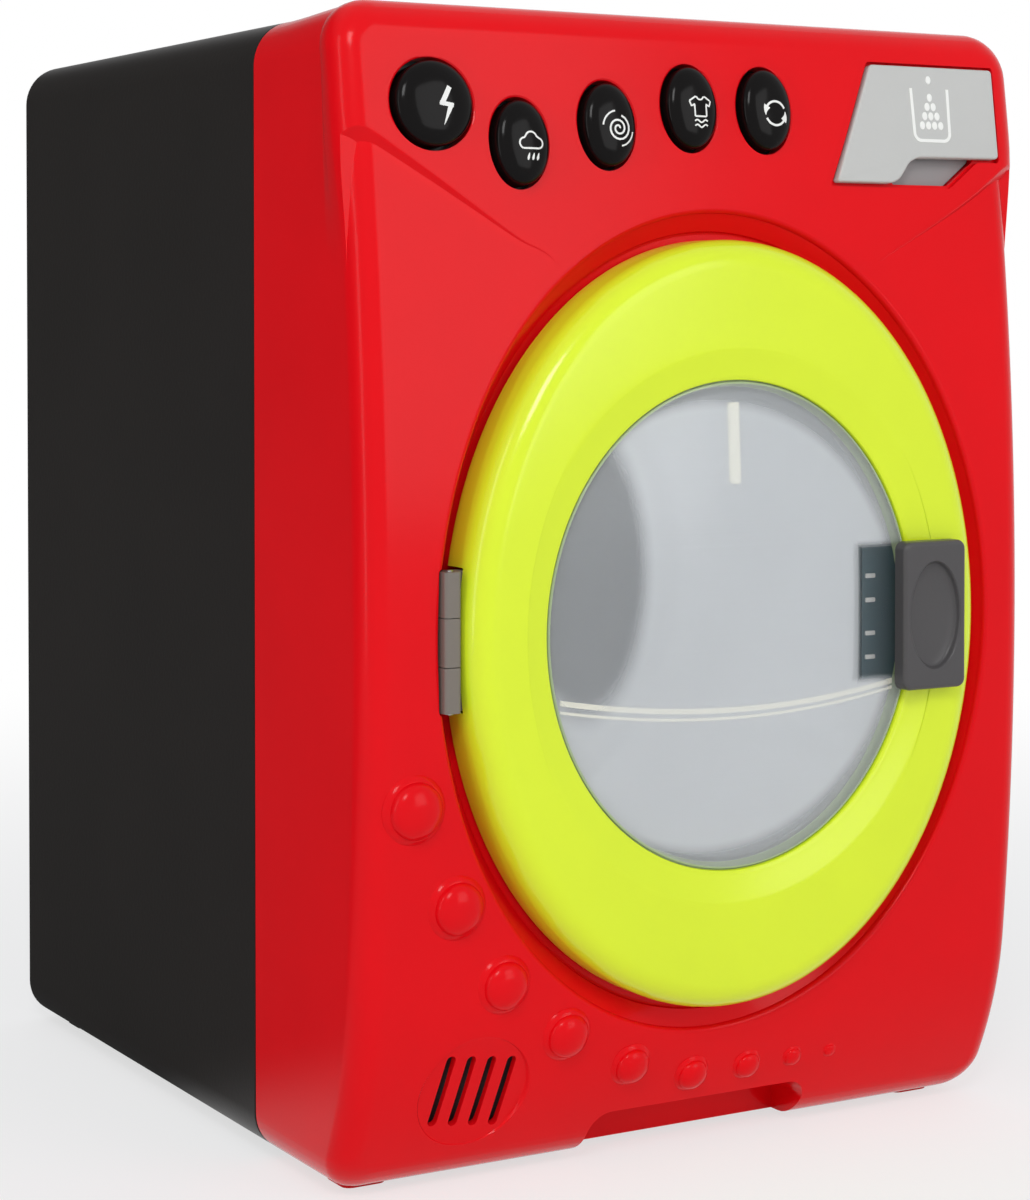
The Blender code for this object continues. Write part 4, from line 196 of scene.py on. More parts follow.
RECESS_FLOOR_Y, RECESS_BACK_Y = -84.5 * MM, -82.1 * MM
RECESS_SLOPE = 4 / 8.5
MOUTH_HALF = (55 * MM, 69 * MM)


def front_y(z):
    """Y of the plain front surface at a height."""
    y = CROWN_Y + (z - CROWN_Z) ** 2 / (2 * CROWN_RADIUS)
    if z < SWEEP_START:
        y += (SWEEP_START - z) ** 2 / (2 * SWEEP_RADIUS)
    return y


def front_tilt(z):
    """How far the front surface leans at a height."""
    slope = (z - CROWN_Z) / CROWN_RADIUS
    if z < SWEEP_START:
        slope -= (SWEEP_START - z) / SWEEP_RADIUS
    return math.atan(slope)


def ease(share):
    """A smooth step from 0 to 1."""
    share = min(1, max(0, share))
    return share * share * (3 - 2 * share)


def swell(z):
    """How far the panel stands out of the plain front at a height."""
    return SWELL * ease((z - SWELL_LOW) / (SWELL_HIGH - SWELL_LOW))


def surface_frame(x, z, proud=0):
    """A frame on the front surface: Y points into the shell, Z up along the surface."""
    place = Matrix.Translation((x, front_y(z) - proud, z))
    return place @ Matrix.Rotation(-front_tilt(z), 4, "X")


def named(name):
    """Names the object that was just added."""
    made = bpy.context.object
    made.name = made.data.name = name
    return made


def use(made):
    """Makes one object the only one that the next operator acts on."""
    if bpy.context.object and bpy.context.object.mode != "OBJECT":
        bpy.ops.object.mode_set(mode="OBJECT")
    bpy.ops.object.select_all(action="DESELECT")
    made.select_set(True)
    bpy.context.view_layer.objects.active = made


def edit(made, kind, wanted=None):
    """Opens a piece for editing with the wanted faces, edges or vertices selected."""
    use(made)
    bpy.ops.object.mode_set(mode="EDIT")
    bpy.ops.mesh.select_mode(type=kind)
    bpy.ops.mesh.select_all(action="SELECT" if wanted is None else "DESELECT")
    if wanted is not None:
        bpy.ops.object.mode_set(mode="OBJECT")
        mesh = made.data
        if kind == "FACE":
            for face in mesh.polygons:
                face.select = wanted(face.center, face.normal)
        elif kind == "EDGE":
            for edge in mesh.edges:
                edge.select = wanted(*(mesh.vertices[v].co for v in edge.vertices))
        else:
            for point in mesh.vertices:
                point.select = wanted(point.co)
        bpy.ops.object.mode_set(mode="EDIT")


def done():
    """Leaves edit mode."""
    bpy.ops.object.mode_set(mode="OBJECT")


NEAR = 1e-6


def outward(made, merge=NEAR):
    """Merges doubled points and turns all faces outwards."""
    edit(made, "VERT")
    bpy.ops.mesh.remove_doubles(threshold=merge)
    bpy.ops.mesh.normals_make_consistent(inside=False)
    done()
    return made


def round_edges(made, size, segments, wanted=None, **options):
    """Rounds the wanted edges of a piece."""
    edit(made, "EDGE", wanted)
    bpy.ops.mesh.bevel(offset=size, segments=segments, affect="EDGES", **options)
    done()


def along(axis):
    """Picks the edges that run along one axis: 0 for X, 1 for Y, 2 for Z."""
    return lambda a, b: all(abs(a[n] - b[n]) < NEAR for n in range(3) if n != axis)


def thicken(made, depth):
    """Gives a sheet its thickness along Y."""
    edit(made, "FACE")
    bpy.ops.mesh.extrude_region_move(TRANSFORM_OT_translate={"value": (0, depth, 0)})
    done()
    return outward(made)


def block(name, low, high):
    """A block between two corners."""
    centre = [(a + b) / 2 for a, b in zip(low, high)]
    bpy.ops.mesh.primitive_cube_add(size=1, location=centre)
    made = named(name)
    made.scale = [b - a for a, b in zip(low, high)]
    bpy.ops.object.transform_apply(location=True, rotation=True, scale=True)
    return made


def oval_stack(name, x, z, rings, segments=160, looped=False, tip=False):
    """A body of ovals along Y, each (half width, half height, y). A fourth value of 1 makes the
    oval follow the front surface, and 2 the swelled surface."""
    half_x, half_z, y = rings[0][:3]
    bpy.ops.mesh.primitive_circle_add(vertices=segments, radius=1, location=(0, 0, 0),
                                      rotation=(math.pi / 2, 0, 0))
    made = named(name)
    made.scale = (half_x, half_z, 1)
    made.location = (x, y, z)
    bpy.ops.object.transform_apply(location=True, rotation=True, scale=True)
    edit(made, "EDGE")
    for wide, tall, deep, *_ in rings[1:]:
        bpy.ops.mesh.extrude_region_move(TRANSFORM_OT_translate={"value": (0, deep - y, 0)})
        bpy.ops.transform.resize(value=(wide / half_x, 1, tall / half_z),
                                 center_override=(x, 0, z))
        half_x, half_z, y = wide, tall, deep
    done()
    for index, ring in enumerate(rings):
        if len(ring) == 4 and ring[3]:
            for point in made.data.vertices[index * segments:(index + 1) * segments]:
                point.co.y += front_y(point.co.z)
                if ring[3] == 2:
                    point.co.y -= swell(point.co.z)
    first = set(range(segments))
    last = set(range((len(rings) - 1) * segments, len(rings) * segments))
    if looped:
        pick_points(made, first | last)
        bpy.ops.mesh.bridge_edge_loops()
    else:
        pick_points(made, first)
        bpy.ops.mesh.edge_face_add()
        pick_points(made, last)
        if tip:
            bpy.ops.mesh.merge(type="CENTER")
        else:
            bpy.ops.mesh.edge_face_add()
    done()
    return outward(made, 1e-7)


def flared(name, half, flare, x=0, z=0, segments=96):
    """An oval body along Y, each step of its flare a growth and a Y in millimetres."""
    rings = [(half[0] + out * MM, half[1] + out * MM, y * MM) for out, y in flare]
    return oval_stack(name, x, z, rings, segments)


def pick_points(made, wanted):
    """Selects points by their number, with the edges between them."""
    edit(made, "VERT", lambda place: False)
    done()
    for number in wanted:
        made.data.vertices[number].select = True
    for edge in made.data.edges:
        edge.select = all(v in wanted for v in edge.vertices)
    bpy.ops.object.mode_set(mode="EDIT")


def gather(name, parts):
    """Joins loose parts into one object."""
    use(parts[0])
    for part in parts:
        part.select_set(True)
    if len(parts) > 1:
        bpy.ops.object.join()
    return named(name)


def boolean(made, operation, *tools):
    """Cuts tools from a piece, adds them or keeps what they share, and removes the tools."""
    for tool in tools:
        use(made)
        step = made.modifiers.new("step", "BOOLEAN")
        step.operation = operation
        step.solver = "EXACT"
        step.object = tool
        bpy.ops.object.modifier_apply(modifier="step")
        bpy.data.objects.remove(tool)
    return made


def smooth(made, angle=35):
    """Smooth shading with real edges kept, weighted so that wide faces stay flat."""
    use(made)
    bpy.ops.object.shade_smooth_by_angle(angle=math.radians(angle))
    weigh = made.modifiers.new("weigh", "WEIGHTED_NORMAL")
    weigh.keep_sharp = True
    bpy.ops.object.modifier_apply(modifier="weigh")
    return made


def shell_blank(name, inset, front, rear, edge, rim=0):
    """A rounded block of the body's outline. A positive edge radius rounds its front end over, a
    negative one its rear end, and the rim radius eases the other end."""
    made = block(name, (inset - HALF_WIDTH, front, LOW + inset),
                 (HALF_WIDTH - inset, rear, TOP - inset))
    for corner, height in ((TOP_CORNER, TOP - inset), (BOTTOM_CORNER, LOW + inset)):
        round_edges(made, corner - inset, 12, lambda a, b: along(1)(a, b)
                    and abs(a.z - height) < NEAR, clamp_overlap=False)
    closed_end, open_end = (front, rear) if edge > 0 else (rear, front)
    for end, size, steps in ((closed_end, abs(edge), 8), (open_end, rim, 2)):
        if size:
            round_edges(made, size, steps, lambda a, b: abs(a.y - end) < NEAR
                        and abs(b.y - end) < NEAR, clamp_overlap=False)
    return made


def slice_up(made, places, axis=2):
    """Cuts loops round a piece at the given places along an axis."""
    normal = [0, 0, 0]
    normal[axis] = 1
    for place in places:
        point = [0, 0, 0]
        point[axis] = place
        edit(made, "FACE")
        bpy.ops.mesh.bisect(plane_co=point, plane_no=normal)
    done()
    return made


def front_blank(name, inset, rear, edge, rim=0, panel=False):
    """The front shell's body or the space in it, crowned and swept like the real front."""
    made = shell_blank(name, inset, CROWN_Y + inset, rear, edge, rim)
    heights, z = [], LOW + inset + STRIP / 2
    while z < TOP - inset:
        heights.append(z)
        z += STRIP / 2 if z < SWEEP_START else STRIP
    slice_up(made, heights)
    if panel:
        slice_up(made, [y * MM for y in PANEL_SLICES], axis=1)
        edit(made, "FACE")
        bpy.ops.mesh.bisect(plane_co=(0, 0, PANEL_FOOT), plane_no=(0, 0, 1), clear_inner=True,
                            use_fill=True)
        done()
    for point in made.data.vertices:
        x, y, z = point.co
        if not panel:
            if y < CROWN_REAR:
                point.co.y += front_y(z) - CROWN_Y
            continue
        share = min(1, max(0, (PANEL_BLEND_REAR - y) / PANEL_BLEND_LONG))
        point.co.y += (front_y(z) - CROWN_Y) * share
        if y < SWELL_FRONT:
            point.co.y -= swell(z)
        reach = ease((SIDE_SWELL_REAR - SWELL_REACH - y) / SWELL_REACH)
        rise = swell(z) / SWELL
        point.co.x += SWELL_SIDE * reach * rise * x / HALF_WIDTH
        lift = ease((TOP_SWELL_REAR - y) / TOP_SWELL_LONG)
        point.co.z += SWELL_TOP * lift * ease((z - SWELL_LOW) / (TOP - SWELL_LOW))
    return made


def crease_cutter():
    """The tool that trims the panel's swell along its crease, with a rounded shoulder."""
    steps = 6
    ends = [CREASE[0]] + list(CREASE) + [CREASE[-1]]
    path = []
    for index in range(1, len(ends) - 2):
        before, start, end, after = (Vector(p) for p in ends[index - 1:index + 3])
        for step in range(steps):
            t = step / steps
            path.append(0.5 * (2 * start + (end - before) * t
                               + (2 * before - 5 * start + 4 * end - after) * t ** 2
                               + (3 * start - before - 3 * end + after) * t ** 3))
    path.append(Vector(ends[-1]))
    rows = list(CREASE_ROUND) + [(CUTTER_SKIRT, CUTTER_SKIRT_DEEP)]
    bpy.ops.mesh.primitive_grid_add(x_subdivisions=len(path) - 1, y_subdivisions=len(rows) - 1,
                                    size=1)
    made = named("crease_cutter")
    for number, point in enumerate(made.data.vertices):
        row, column = divmod(number, len(path))
        ahead = path[min(column + 1, len(path) - 1)] - path[max(column - 1, 0)]
        down = Vector((ahead.y, -ahead.x)).normalized()
        out, deep = rows[row]
        place = path[column] + down * out
        if out == CUTTER_SKIRT:
            place = Vector((path[column].x, CUTTER_FOOT))
        x, z = place * MM
        point.co = (x, front_y(z) - swell(z) + deep * MM, z)
    return thicken(made, -30 * MM)


front_shell = front_blank("front_shell", 0, SEAM_Y - SEAM_HALF, FRONT_EDGE, rim=0.35 * MM)
panel = front_blank("panel", 0.05 * MM, -40.6 * MM, FRONT_EDGE, panel=True)
boolean(panel, "DIFFERENCE", crease_cutter())
boolean(front_shell, "UNION", panel)

# Round the door: the dished recess with its soft lip, the mouth and the hinge pocket.
LIP = 1.4 * MM


def recess_cutter():
    """The recess as a stack of ovals, with a rounded lip that follows the swelled surface."""
    wide, tall = RECESS_HALF
    rings = [(wide - 0.9 * MM, tall - 0.9 * MM, RECESS_FLOOR_Y),
             (wide - 0.25 * MM, tall - 0.25 * MM, RECESS_FLOOR_Y - 0.25 * MM),
             (wide, tall, RECESS_FLOOR_Y - 0.9 * MM)]
    edge = 7 * MM * RECESS_SLOPE
    for turn in (0, 15, 30, 45, 60, 75, 90):
        spread = LIP * (1 - math.cos(math.radians(turn)))
        sink = LIP * (1 - math.sin(math.radians(turn)))
        rings.append((wide + edge + spread, tall + 0.5 * MM + edge + spread, sink, 2))
    rings.append((wide + edge + LIP * 2, tall + edge + LIP * 2, -0.6 * MM, 2))
    rings.append((wide + edge + LIP * 2, tall + edge + LIP * 2, -12 * MM, 2))
    return oval_stack("recess_cutter", DOOR_X, DOOR_Z, rings, segments=192)


boolean(front_shell, "DIFFERENCE", recess_cutter())
hinge_pocket = block("hinge_pocket", (-68.5 * MM, -110 * MM, DOOR_Z - 15.1 * MM),
                     (-60 * MM, RECESS_FLOOR_Y, DOOR_Z + 15.1 * MM))
round_edges(hinge_pocket, 1 * MM, 4, along(1))
MOUTH_FLARE = ((0, -78), (0, -83.9), (0.18, -84.3), (0.6, -84.5), (0.6, -90))
mouth = flared("mouth", MOUTH_HALF, MOUTH_FLARE, DOOR_X, DOOR_Z, segments=128)
boolean(front_shell, "DIFFERENCE", hinge_pocket)

# The space behind the front, less the walls round the recess, the hinge pocket and the notch.
NOTCH_X, NOTCH_HALF, NOTCH_TOP, NOTCH_BACK = 4 * MM, 28.5 * MM, 11.5 * MM, -66.8 * MM
hollow = front_blank("hollow", SHELL_WALL, SEAM_Y + 5 * MM, FRONT_EDGE - SHELL_WALL)
surround = oval_stack("surround", DOOR_X, DOOR_Z, (
    (70 * MM, 88 * MM, RECESS_BACK_Y), (70 * MM, 88 * MM, RECESS_BACK_Y - 0.1 * MM),
    (76 * MM, 94 * MM, -96 * MM)), segments=96)
boolean(hollow, "DIFFERENCE", surround,
        block("pocket_wall", (-73.6 * MM, -100 * MM, DOOR_Z - 18 * MM),
              (-58 * MM, RECESS_BACK_Y, DOOR_Z + 18 * MM)),
        block("notch_wall", (NOTCH_X - NOTCH_HALF - 2.2 * MM, -100 * MM, 0),
              (NOTCH_X + NOTCH_HALF + 2.2 * MM, NOTCH_BACK + 2.2 * MM, NOTCH_TOP + 2.2 * MM)))
boolean(front_shell, "DIFFERENCE", hollow, mouth)

# Bubbles moulded under the door: round domes, each on a low flared foot, smaller to the right.
BUBBLES = ((-74, 83.7, 6), (-63.4, 62.4, 5.6), (-51.4, 44.8, 5.2), (-35.2, 31.9, 4.85),
           (-17.5, 22.5, 4.1), (-0.8, 18, 3.6), (13.9, 18, 3), (26.2, 18.2, 2.1),
           (36.5, 18.2, 1.4))


def bubble(x, z, half):
    """One dome on its foot, seated on the front surface."""
    x, z, half = x * MM, z * MM, half * MM
    rings = [(half * 1.22, half * 1.22, 1.0 * MM), (half * 1.22, half * 1.22, 0.02 * MM),
             (half * 1.13, half * 1.13, -0.1 * half), (half * 1.04, half * 1.04, -0.15 * half)]
    for turn in (0, 12, 25, 38, 52, 66, 80):
        wide = half * math.cos(math.radians(turn))
        rings.append((wide, wide, -half * (0.17 + 0.5 * math.sin(math.radians(turn)))))
    made = oval_stack("bubble", 0, 0, rings, segments=32, tip=True)
    made.matrix_world = surface_frame(x, z)
    bpy.ops.object.transform_apply(location=True, rotation=True, scale=True)
    return made


boolean(front_shell, "UNION", gather("bubbles", [bubble(*place) for place in BUBBLES]))

# Speaker grille: a sunk disc with four leaning slots. Finger notch: an arched gap in the front's
# lower edge, with rounded sides. Foot pads stand under the two front corners.
SPEAKER_X, SPEAKER_Z, GRILLE = -56 * MM, 21.5 * MM, 13 * MM
speaker_frame = surface_frame(SPEAKER_X, SPEAKER_Z)


def in_frame(made, place):
    """Puts a piece that was made at the origin into a frame."""
    use(made)
    made.matrix_world = place
    bpy.ops.object.transform_apply(location=True, rotation=True, scale=True)
    return made


SINK_FLARE = ((-0.5, 1), (-0.2, 0.92), (0, 0.6), (0.1, 0.3), (0.45, -0.05), (1.2, -0.4), (1.2, -5))
sink = in_frame(flared("sink", (GRILLE, GRILLE), SINK_FLARE), speaker_frame)
SLOT_STEP, SLOT_LEAN = 5 * MM, math.radians(8)
slots = []
for number in range(4):
    slot = block("slot", (-1.1 * MM, -5 * MM, -8.3 * MM), (1.1 * MM, 8 * MM, 8.3 * MM))
    round_edges(slot, 1.09 * MM, 5, along(1))
    lean = Matrix.Rotation(SLOT_LEAN, 4, "Y")
    shift = Matrix.Translation(((number - 1.5) * SLOT_STEP, 0, 0))
    slots.append(in_frame(slot, speaker_frame @ lean @ shift))
boolean(front_shell, "DIFFERENCE", sink, gather("slots", slots))

notch = block("notch", (NOTCH_X - NOTCH_HALF, -110 * MM, -5 * MM),
              (NOTCH_X + NOTCH_HALF, NOTCH_BACK, NOTCH_TOP))
round_edges(notch, 5 * MM, 8, lambda a, b: along(1)(a, b) and a.z > 0)
boolean(front_shell, "DIFFERENCE", notch)

# Button holes and the drawer's pocket, cut square to the panel.
PANEL = surface_frame(0, 225 * MM, SWELL)
BUTTONS = (("power", -67, 2.7, 8.9, 8.9), ("rinse", -46.8, -4.9, 6.4, 8.9),
           ("spin", -25.1, -0.5, 6.4, 8.9), ("dry", -3.9, 3.9, 6.4, 8.9),
           ("cycle", 15.8, 4.1, 6.4, 8.9))
HOLE_GAP = 0.8
HOLE_FLARE = ((0, 7), (0, 0.45), (0.13, 0.13), (0.45, -0.02), (1, -0.4), (1, -4))
holes = []
for _, x, z, half_x, half_z in BUTTONS:
    half = ((half_x + HOLE_GAP) * MM, (half_z + HOLE_GAP) * MM)
    holes.append(in_frame(flared("hole", half, HOLE_FLARE, x * MM, z * MM, segments=64), PANEL))
boolean(front_shell, "DIFFERENCE", gather("holes", holes))

DRAWER_LEFT, DRAWER_LOW, DRAWER_WIDE, DRAWER_TALL = 34, -11.3, 46.5, 27
POCKET = ((-0.022, -0.03), (0.7, -0.03), (0.875, 0.2), (1.013, 0.2), (1.013, 1.025),
          (0.238, 1.025))


def panel_plate(name, shares, start, end, rounding, steps=5):
    """A plate of an outline given in shares of the drawer front, with its corners rounded."""
    bpy.ops.mesh.primitive_circle_add(vertices=len(shares), radius=1, location=(0, 0, 0),
                                      rotation=(math.pi / 2, 0, 0))
    made = named(name)
    bpy.ops.object.transform_apply(location=True, rotation=True, scale=True)
    for point, (across, up) in zip(made.data.vertices, shares):
        point.co = ((DRAWER_LEFT + across * DRAWER_WIDE) * MM, start * MM,
                    (DRAWER_LOW + up * DRAWER_TALL) * MM)
    edit(made, "VERT")
    bpy.ops.mesh.edge_face_add()
    if rounding:
        bpy.ops.mesh.bevel(offset=rounding * MM, segments=steps, affect="VERTICES")
    bpy.ops.mesh.select_all(action="SELECT")
    bpy.ops.mesh.extrude_region_move(
        TRANSFORM_OT_translate={"value": (0, (end - start) * MM, 0)})
    done()
    return outward(made)


pocket = in_frame(panel_plate("pocket", POCKET, 1.6, -4, 0.7, 3), PANEL)
SCOOP = ((0.36, 0), (0.7, 0), (0.868, 0.215), (0.868, 0.345), (0.36, 0.345))
scoop = in_frame(panel_plate("scoop", SCOOP, 4.3, -2, 0.5, 3), PANEL)
tray_hole = block("tray_hole", (46.5 * MM, -100 * MM, 221.6 * MM), (76 * MM, -77 * MM, 237.6 * MM))
boolean(front_shell, "DIFFERENCE", pocket, scoop, tray_hole)
FOOT_X, FOOT_HALF, FOOT_FRONT_Y = 72.5 * MM, 5 * MM, -62.8 * MM


def foot_pad(x, y):
    """A low foot with rounded corners, let into the shell's underside."""
    made = block("foot_pad", (x - FOOT_HALF, y - FOOT_HALF, 0),
                 (x + FOOT_HALF, y + FOOT_HALF, 3 * MM))
    round_edges(made, 2 * MM, 4, along(2))
    return made


for side in (-1, 1):
    boolean(front_shell, "UNION", foot_pad(side * FOOT_X, FOOT_FRONT_Y))
smooth(front_shell)


def plastic(name, base, rough, peel=0.02, speck=0.02, peel_size=900, sheen=0.5):
    """Moulded plastic: a faint unevenness of tone and gloss, and a fine orange peel."""
    made = bpy.data.materials.new(name)
    made.use_nodes = True
    tree = made.node_tree
    surface = tree.nodes["Principled BSDF"].inputs
    surface["IOR"].default_value = 1.5
    surface["Specular IOR Level"].default_value = sheen
    place = node(tree, "TexCoord").outputs["Object"]
    cloud = node(tree, "TexNoise", {"Vector": place, "Scale": 28, "Detail": 3}).outputs["Fac"]
    darker = [c * (1 - speck * 3) for c in base[:3]] + [1]
    lighter = [min(1, c * (1 + speck * 3)) for c in base[:3]] + [1]
    tone = node(tree, "Mix", {"Factor": cloud, "A": darker, "B": lighter}, data_type="RGBA")
    gloss = node(tree, "MapRange", {"Value": cloud, "To Min": rough * 0.85,
                                    "To Max": rough * 1.2})
    grain = node(tree, "TexNoise", {"Vector": place, "Scale": peel_size, "Detail": 2})
    bump = node(tree, "Bump", {"Height": grain.outputs["Fac"], "Strength": peel,
                               "Distance": 0.001})
    tree.links.new(tone.outputs["Result"], surface["Base Color"])
    tree.links.new(gloss.outputs["Result"], surface["Roughness"])
    tree.links.new(bump.outputs["Normal"], surface["Normal"])
    return made


def finish(made, material, body, slot, *nodes):
    """Gives a piece its finish and its body, and hides the solids that it stands for. The slot is
    not used.
    """
    made.data.materials.clear()
    made.data.materials.append(material)
    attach(made, body)
    if nodes:
        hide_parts(*nodes)


red = plastic("glossy red plastic", colour(228, 8, 20), 0.17, peel=0.012, sheen=0.12)
finish(front_shell, red, "casing", "red_plastic", "front_casing")


# Dark rear shell. One moulding in semi-gloss ABS that meets the front at a thin seam. It has four
# long screw wells, the opening for the battery cover and two feet.
REAR_Y, REAR_EDGE, FOOT_REAR_Y = 102 * MM, 3 * MM, 89 * MM
POST_X, POST_HEIGHTS, POST_RADIUS = 76.5 * MM, (202 * MM, 21 * MM), 4.2 * MM
COVER_HALF, COVER_LOW, COVER_HIGH = 26 * MM, 24.8 * MM, 86.7 * MM
rear_shell = shell_blank("rear_shell", 0, SEAM_Y + SEAM_HALF, REAR_Y, -REAR_EDGE, rim=0.35 * MM)
rear_space = shell_blank("rear_space", SHELL_WALL, SEAM_Y - 4 * MM, REAR_Y - SHELL_WALL,
                         SHELL_WALL - REAR_EDGE)
boolean(rear_shell, "DIFFERENCE", rear_space)


def in_mm(rings):
    """Ovals that are given in millimetres, in metres."""
    return [(wide * MM, tall * MM, y * MM) for wide, tall, y in rings]


posts, wells = [], []
for x in (-POST_X, POST_X):
    for z in POST_HEIGHTS:
        posts.append(oval_stack("post", x, z, (
            (POST_RADIUS, POST_RADIUS, SEAM_Y + SEAM_HALF),
            (POST_RADIUS, POST_RADIUS, REAR_Y - SHELL_WALL / 2)), segments=32))
        wells.append(oval_stack("well", x, z, in_mm((
            (1.6, 1.6, -45), (1.6, 1.6, -34.8), (3, 3, -34.8), (3, 3, 101.3), (3.2, 3.2, 101.8),
            (3.7, 3.7, 102.05), (3.7, 3.7, 105))), segments=48))
battery_gap = block("battery_gap", (-COVER_HALF - 0.3 * MM, 95 * MM, COVER_LOW - 0.3 * MM),
                    (COVER_HALF + 0.3 * MM, 110 * MM, COVER_HIGH + 0.3 * MM))
round_edges(battery_gap, 1 * MM, 4, along(1))
boolean(rear_shell, "UNION", gather("posts", posts))
boolean(rear_shell, "DIFFERENCE", gather("wells", wells), battery_gap)
for side in (-1, 1):
    boolean(rear_shell, "UNION", foot_pad(side * FOOT_X, FOOT_REAR_Y))
smooth(rear_shell)
dark = plastic("dark semi-gloss plastic", colour(42, 39, 37), 0.34, peel=0.03, speck=0.05,
               sheen=0.12)
finish(rear_shell, dark, "casing", "dark_plastic", "rear_casing")


# Lime door ring. A hollow moulding in glossy ABS with a full outer shoulder, a broad face, a soft
# slope down to the window and a rounded lip. It has a gap for the hinge and the latch's slot.
RING_HALF, RING_SHOULDER, RING_FRONT = (66, 83), 6, -98
WINDOW_HALF = (47.5, 52.8)


def ring_point(share, y, out=0):
    """A ring between the window's edge at 0 and the shoulder's top at 1, or beyond by out."""
    top = [half - RING_SHOULDER for half in RING_HALF]
    wide, tall = (w + (t - w) * share + out for w, t in zip(WINDOW_HALF, top))
    return wide * MM, tall * MM, y * MM


ring_rings = [ring_point(1, -85, 5.5), ring_point(1, -85.15, 5.85), ring_point(1, -85.5, 6)]
ring_rings += [ring_point(1, RING_FRONT + RING_SHOULDER * (1 - math.sin(math.radians(turn))),
                          RING_SHOULDER * math.cos(math.radians(turn)))
               for turn in range(0, 91, 9)]
ring_rings += [ring_point(0.75, -98.03), ring_point(0.45, -98.02),
               ring_point(0, -98, 7.2), ring_point(0, -97.97, 6.7), ring_point(0, -97.86, 6.1),
               ring_point(0, -97.4, 4), ring_point(0, -96.95, 2), ring_point(0, -96.85, 1.3),
               ring_point(0, -96.72, 0.6), ring_point(0, -96.45, 0.15), ring_point(0, -96.1),
               ring_point(0, -95.4), ring_point(0.5, -95.6), ring_point(1, -95.6, 0.2),
               ring_point(1, -95, 1.8), ring_point(1, -93.6, 3), ring_point(1, -91.5, 3.6),
               ring_point(1, -85, 3.6)]
door_ring = oval_stack("ring_shape", DOOR_X, DOOR_Z, ring_rings, segments=224, looped=True)
hinge_gap = block("hinge_gap", (-75 * MM, -91.9 * MM, DOOR_Z - 15 * MM),
                  (-57.7 * MM, -80 * MM, DOOR_Z + 15 * MM))
round_edges(hinge_gap, 0.3 * MM, 3, lambda a, b: along(0)(a, b) and a.y < -90 * MM)
latch_slot = block("latch_slot", (51.9 * MM, -104 * MM, DOOR_Z - 6.5 * MM),
                   (59.9 * MM, -92.6 * MM, DOOR_Z + 6.5 * MM))
boolean(door_ring, "DIFFERENCE", hinge_gap, latch_slot)
door_ring.name = "lime_door_ring"
smooth(door_ring)
lime = plastic("glossy lime plastic", colour(221, 242, 44), 0.17, peel=0.008, sheen=0.35)
finish(door_ring, lime, "door", "lime_plastic", "door_ring")


# Door window. A smoky bluish clear dome with a flange clamped behind the ring's lip, a greenish
# edge where it bends over, clearer places at its left, rim and guide box, and moulded ribs inside.
WINDOW_EDGE_Y, WINDOW_BULGE, WINDOW_WALL = -96.1, 1.8, 1.8
DOME_WIDE, DOME_TALL, DOME_STEPS, GREEN_FROM = 47.2, 52.5, 10, 0.965


def dome_y(share, behind=0):
    """Y of the window's surface at a share of its half width, in millimetres."""
    return WINDOW_EDGE_Y + behind - WINDOW_BULGE * (1 - share ** 2)


def dome_rings(steps, behind=0):
    """The ovals of the window's outer or inner surface."""
    shares = [step / (DOME_STEPS + 0.5) for step in steps]
    return [(DOME_WIDE * share, DOME_TALL * share, dome_y(share, behind)) for share in shares]


window_rings = dome_rings(range(1, DOME_STEPS + 1), WINDOW_WALL)
window_rings += [(45.6, 50.9, -93.6), (46, 51.4, -93.3), (49.5, 54.8, -93.3), (49.5, 54.8, -95.1),
                 (47.2, 52.5, -95.1), (47.2, 52.5, -95.95), (47.05, 52.35, -96.12),
                 (46.7, 52, -96.22)]
window_rings += dome_rings(range(DOME_STEPS, 0, -1)) + [(0.3, 0.33, dome_y(0))]
window = oval_stack("smoky_window", DOOR_X, DOOR_Z, in_mm(window_rings), tip=True)
smooth(window, 50)


def clear_plastic(name, base, alpha, rough, marks):
    """See-through plastic with faint cloudiness and fine lines drawn across it."""
    made = plastic(name, base, rough, peel=0.008, speck=0.015)
    tree = made.node_tree
    surface = tree.nodes["Principled BSDF"].inputs
    surface["Alpha"].default_value = alpha
    stretch = node(tree, "Mapping", {"Vector": node(tree, "TexCoord").outputs["Object"],
                                     "Scale": (14, 14, 900)})
    lines = node(tree, "TexNoise", {"Vector": stretch.outputs["Vector"], "Scale": 1,
                                    "Detail": 4})
    bump = node(tree, "Bump", {"Height": lines.outputs["Fac"], "Strength": marks,
                               "Distance": 0.0004})
    tree.links.new(bump.outputs["Normal"], surface["Normal"])
    return made


WINDOW_HAZE = 0.44
smoke = clear_plastic("smoky clear plastic", colour(240, 244, 247), WINDOW_HAZE, 0.12, 0.1)
haze_tree = smoke.node_tree


def hazed(place, half, inside, outside, edge, square=False):
    """A factor that changes across an oval or square border on the window, in millimetres."""
    seat = node(haze_tree, "Mapping", {
        "Vector": node(haze_tree, "TexCoord").outputs["Object"],
        "Location": (-place[0] / half[0], 0, -place[1] / half[1]),
        "Scale": (1000 / half[0], 0, 1000 / half[1])}).outputs["Vector"]
    if square:
        split = node(haze_tree, "SeparateXYZ", {"Vector": seat}).outputs
        away = worked(haze_tree, "MAXIMUM", worked(haze_tree, "ABSOLUTE", split["X"]),
                      worked(haze_tree, "ABSOLUTE", split["Z"]))
    else:
        away = node(haze_tree, "VectorMath", {0: seat}, operation="LENGTH").outputs["Value"]
    return ramped(haze_tree, away, 1 - edge, 1 + edge, inside, outside)


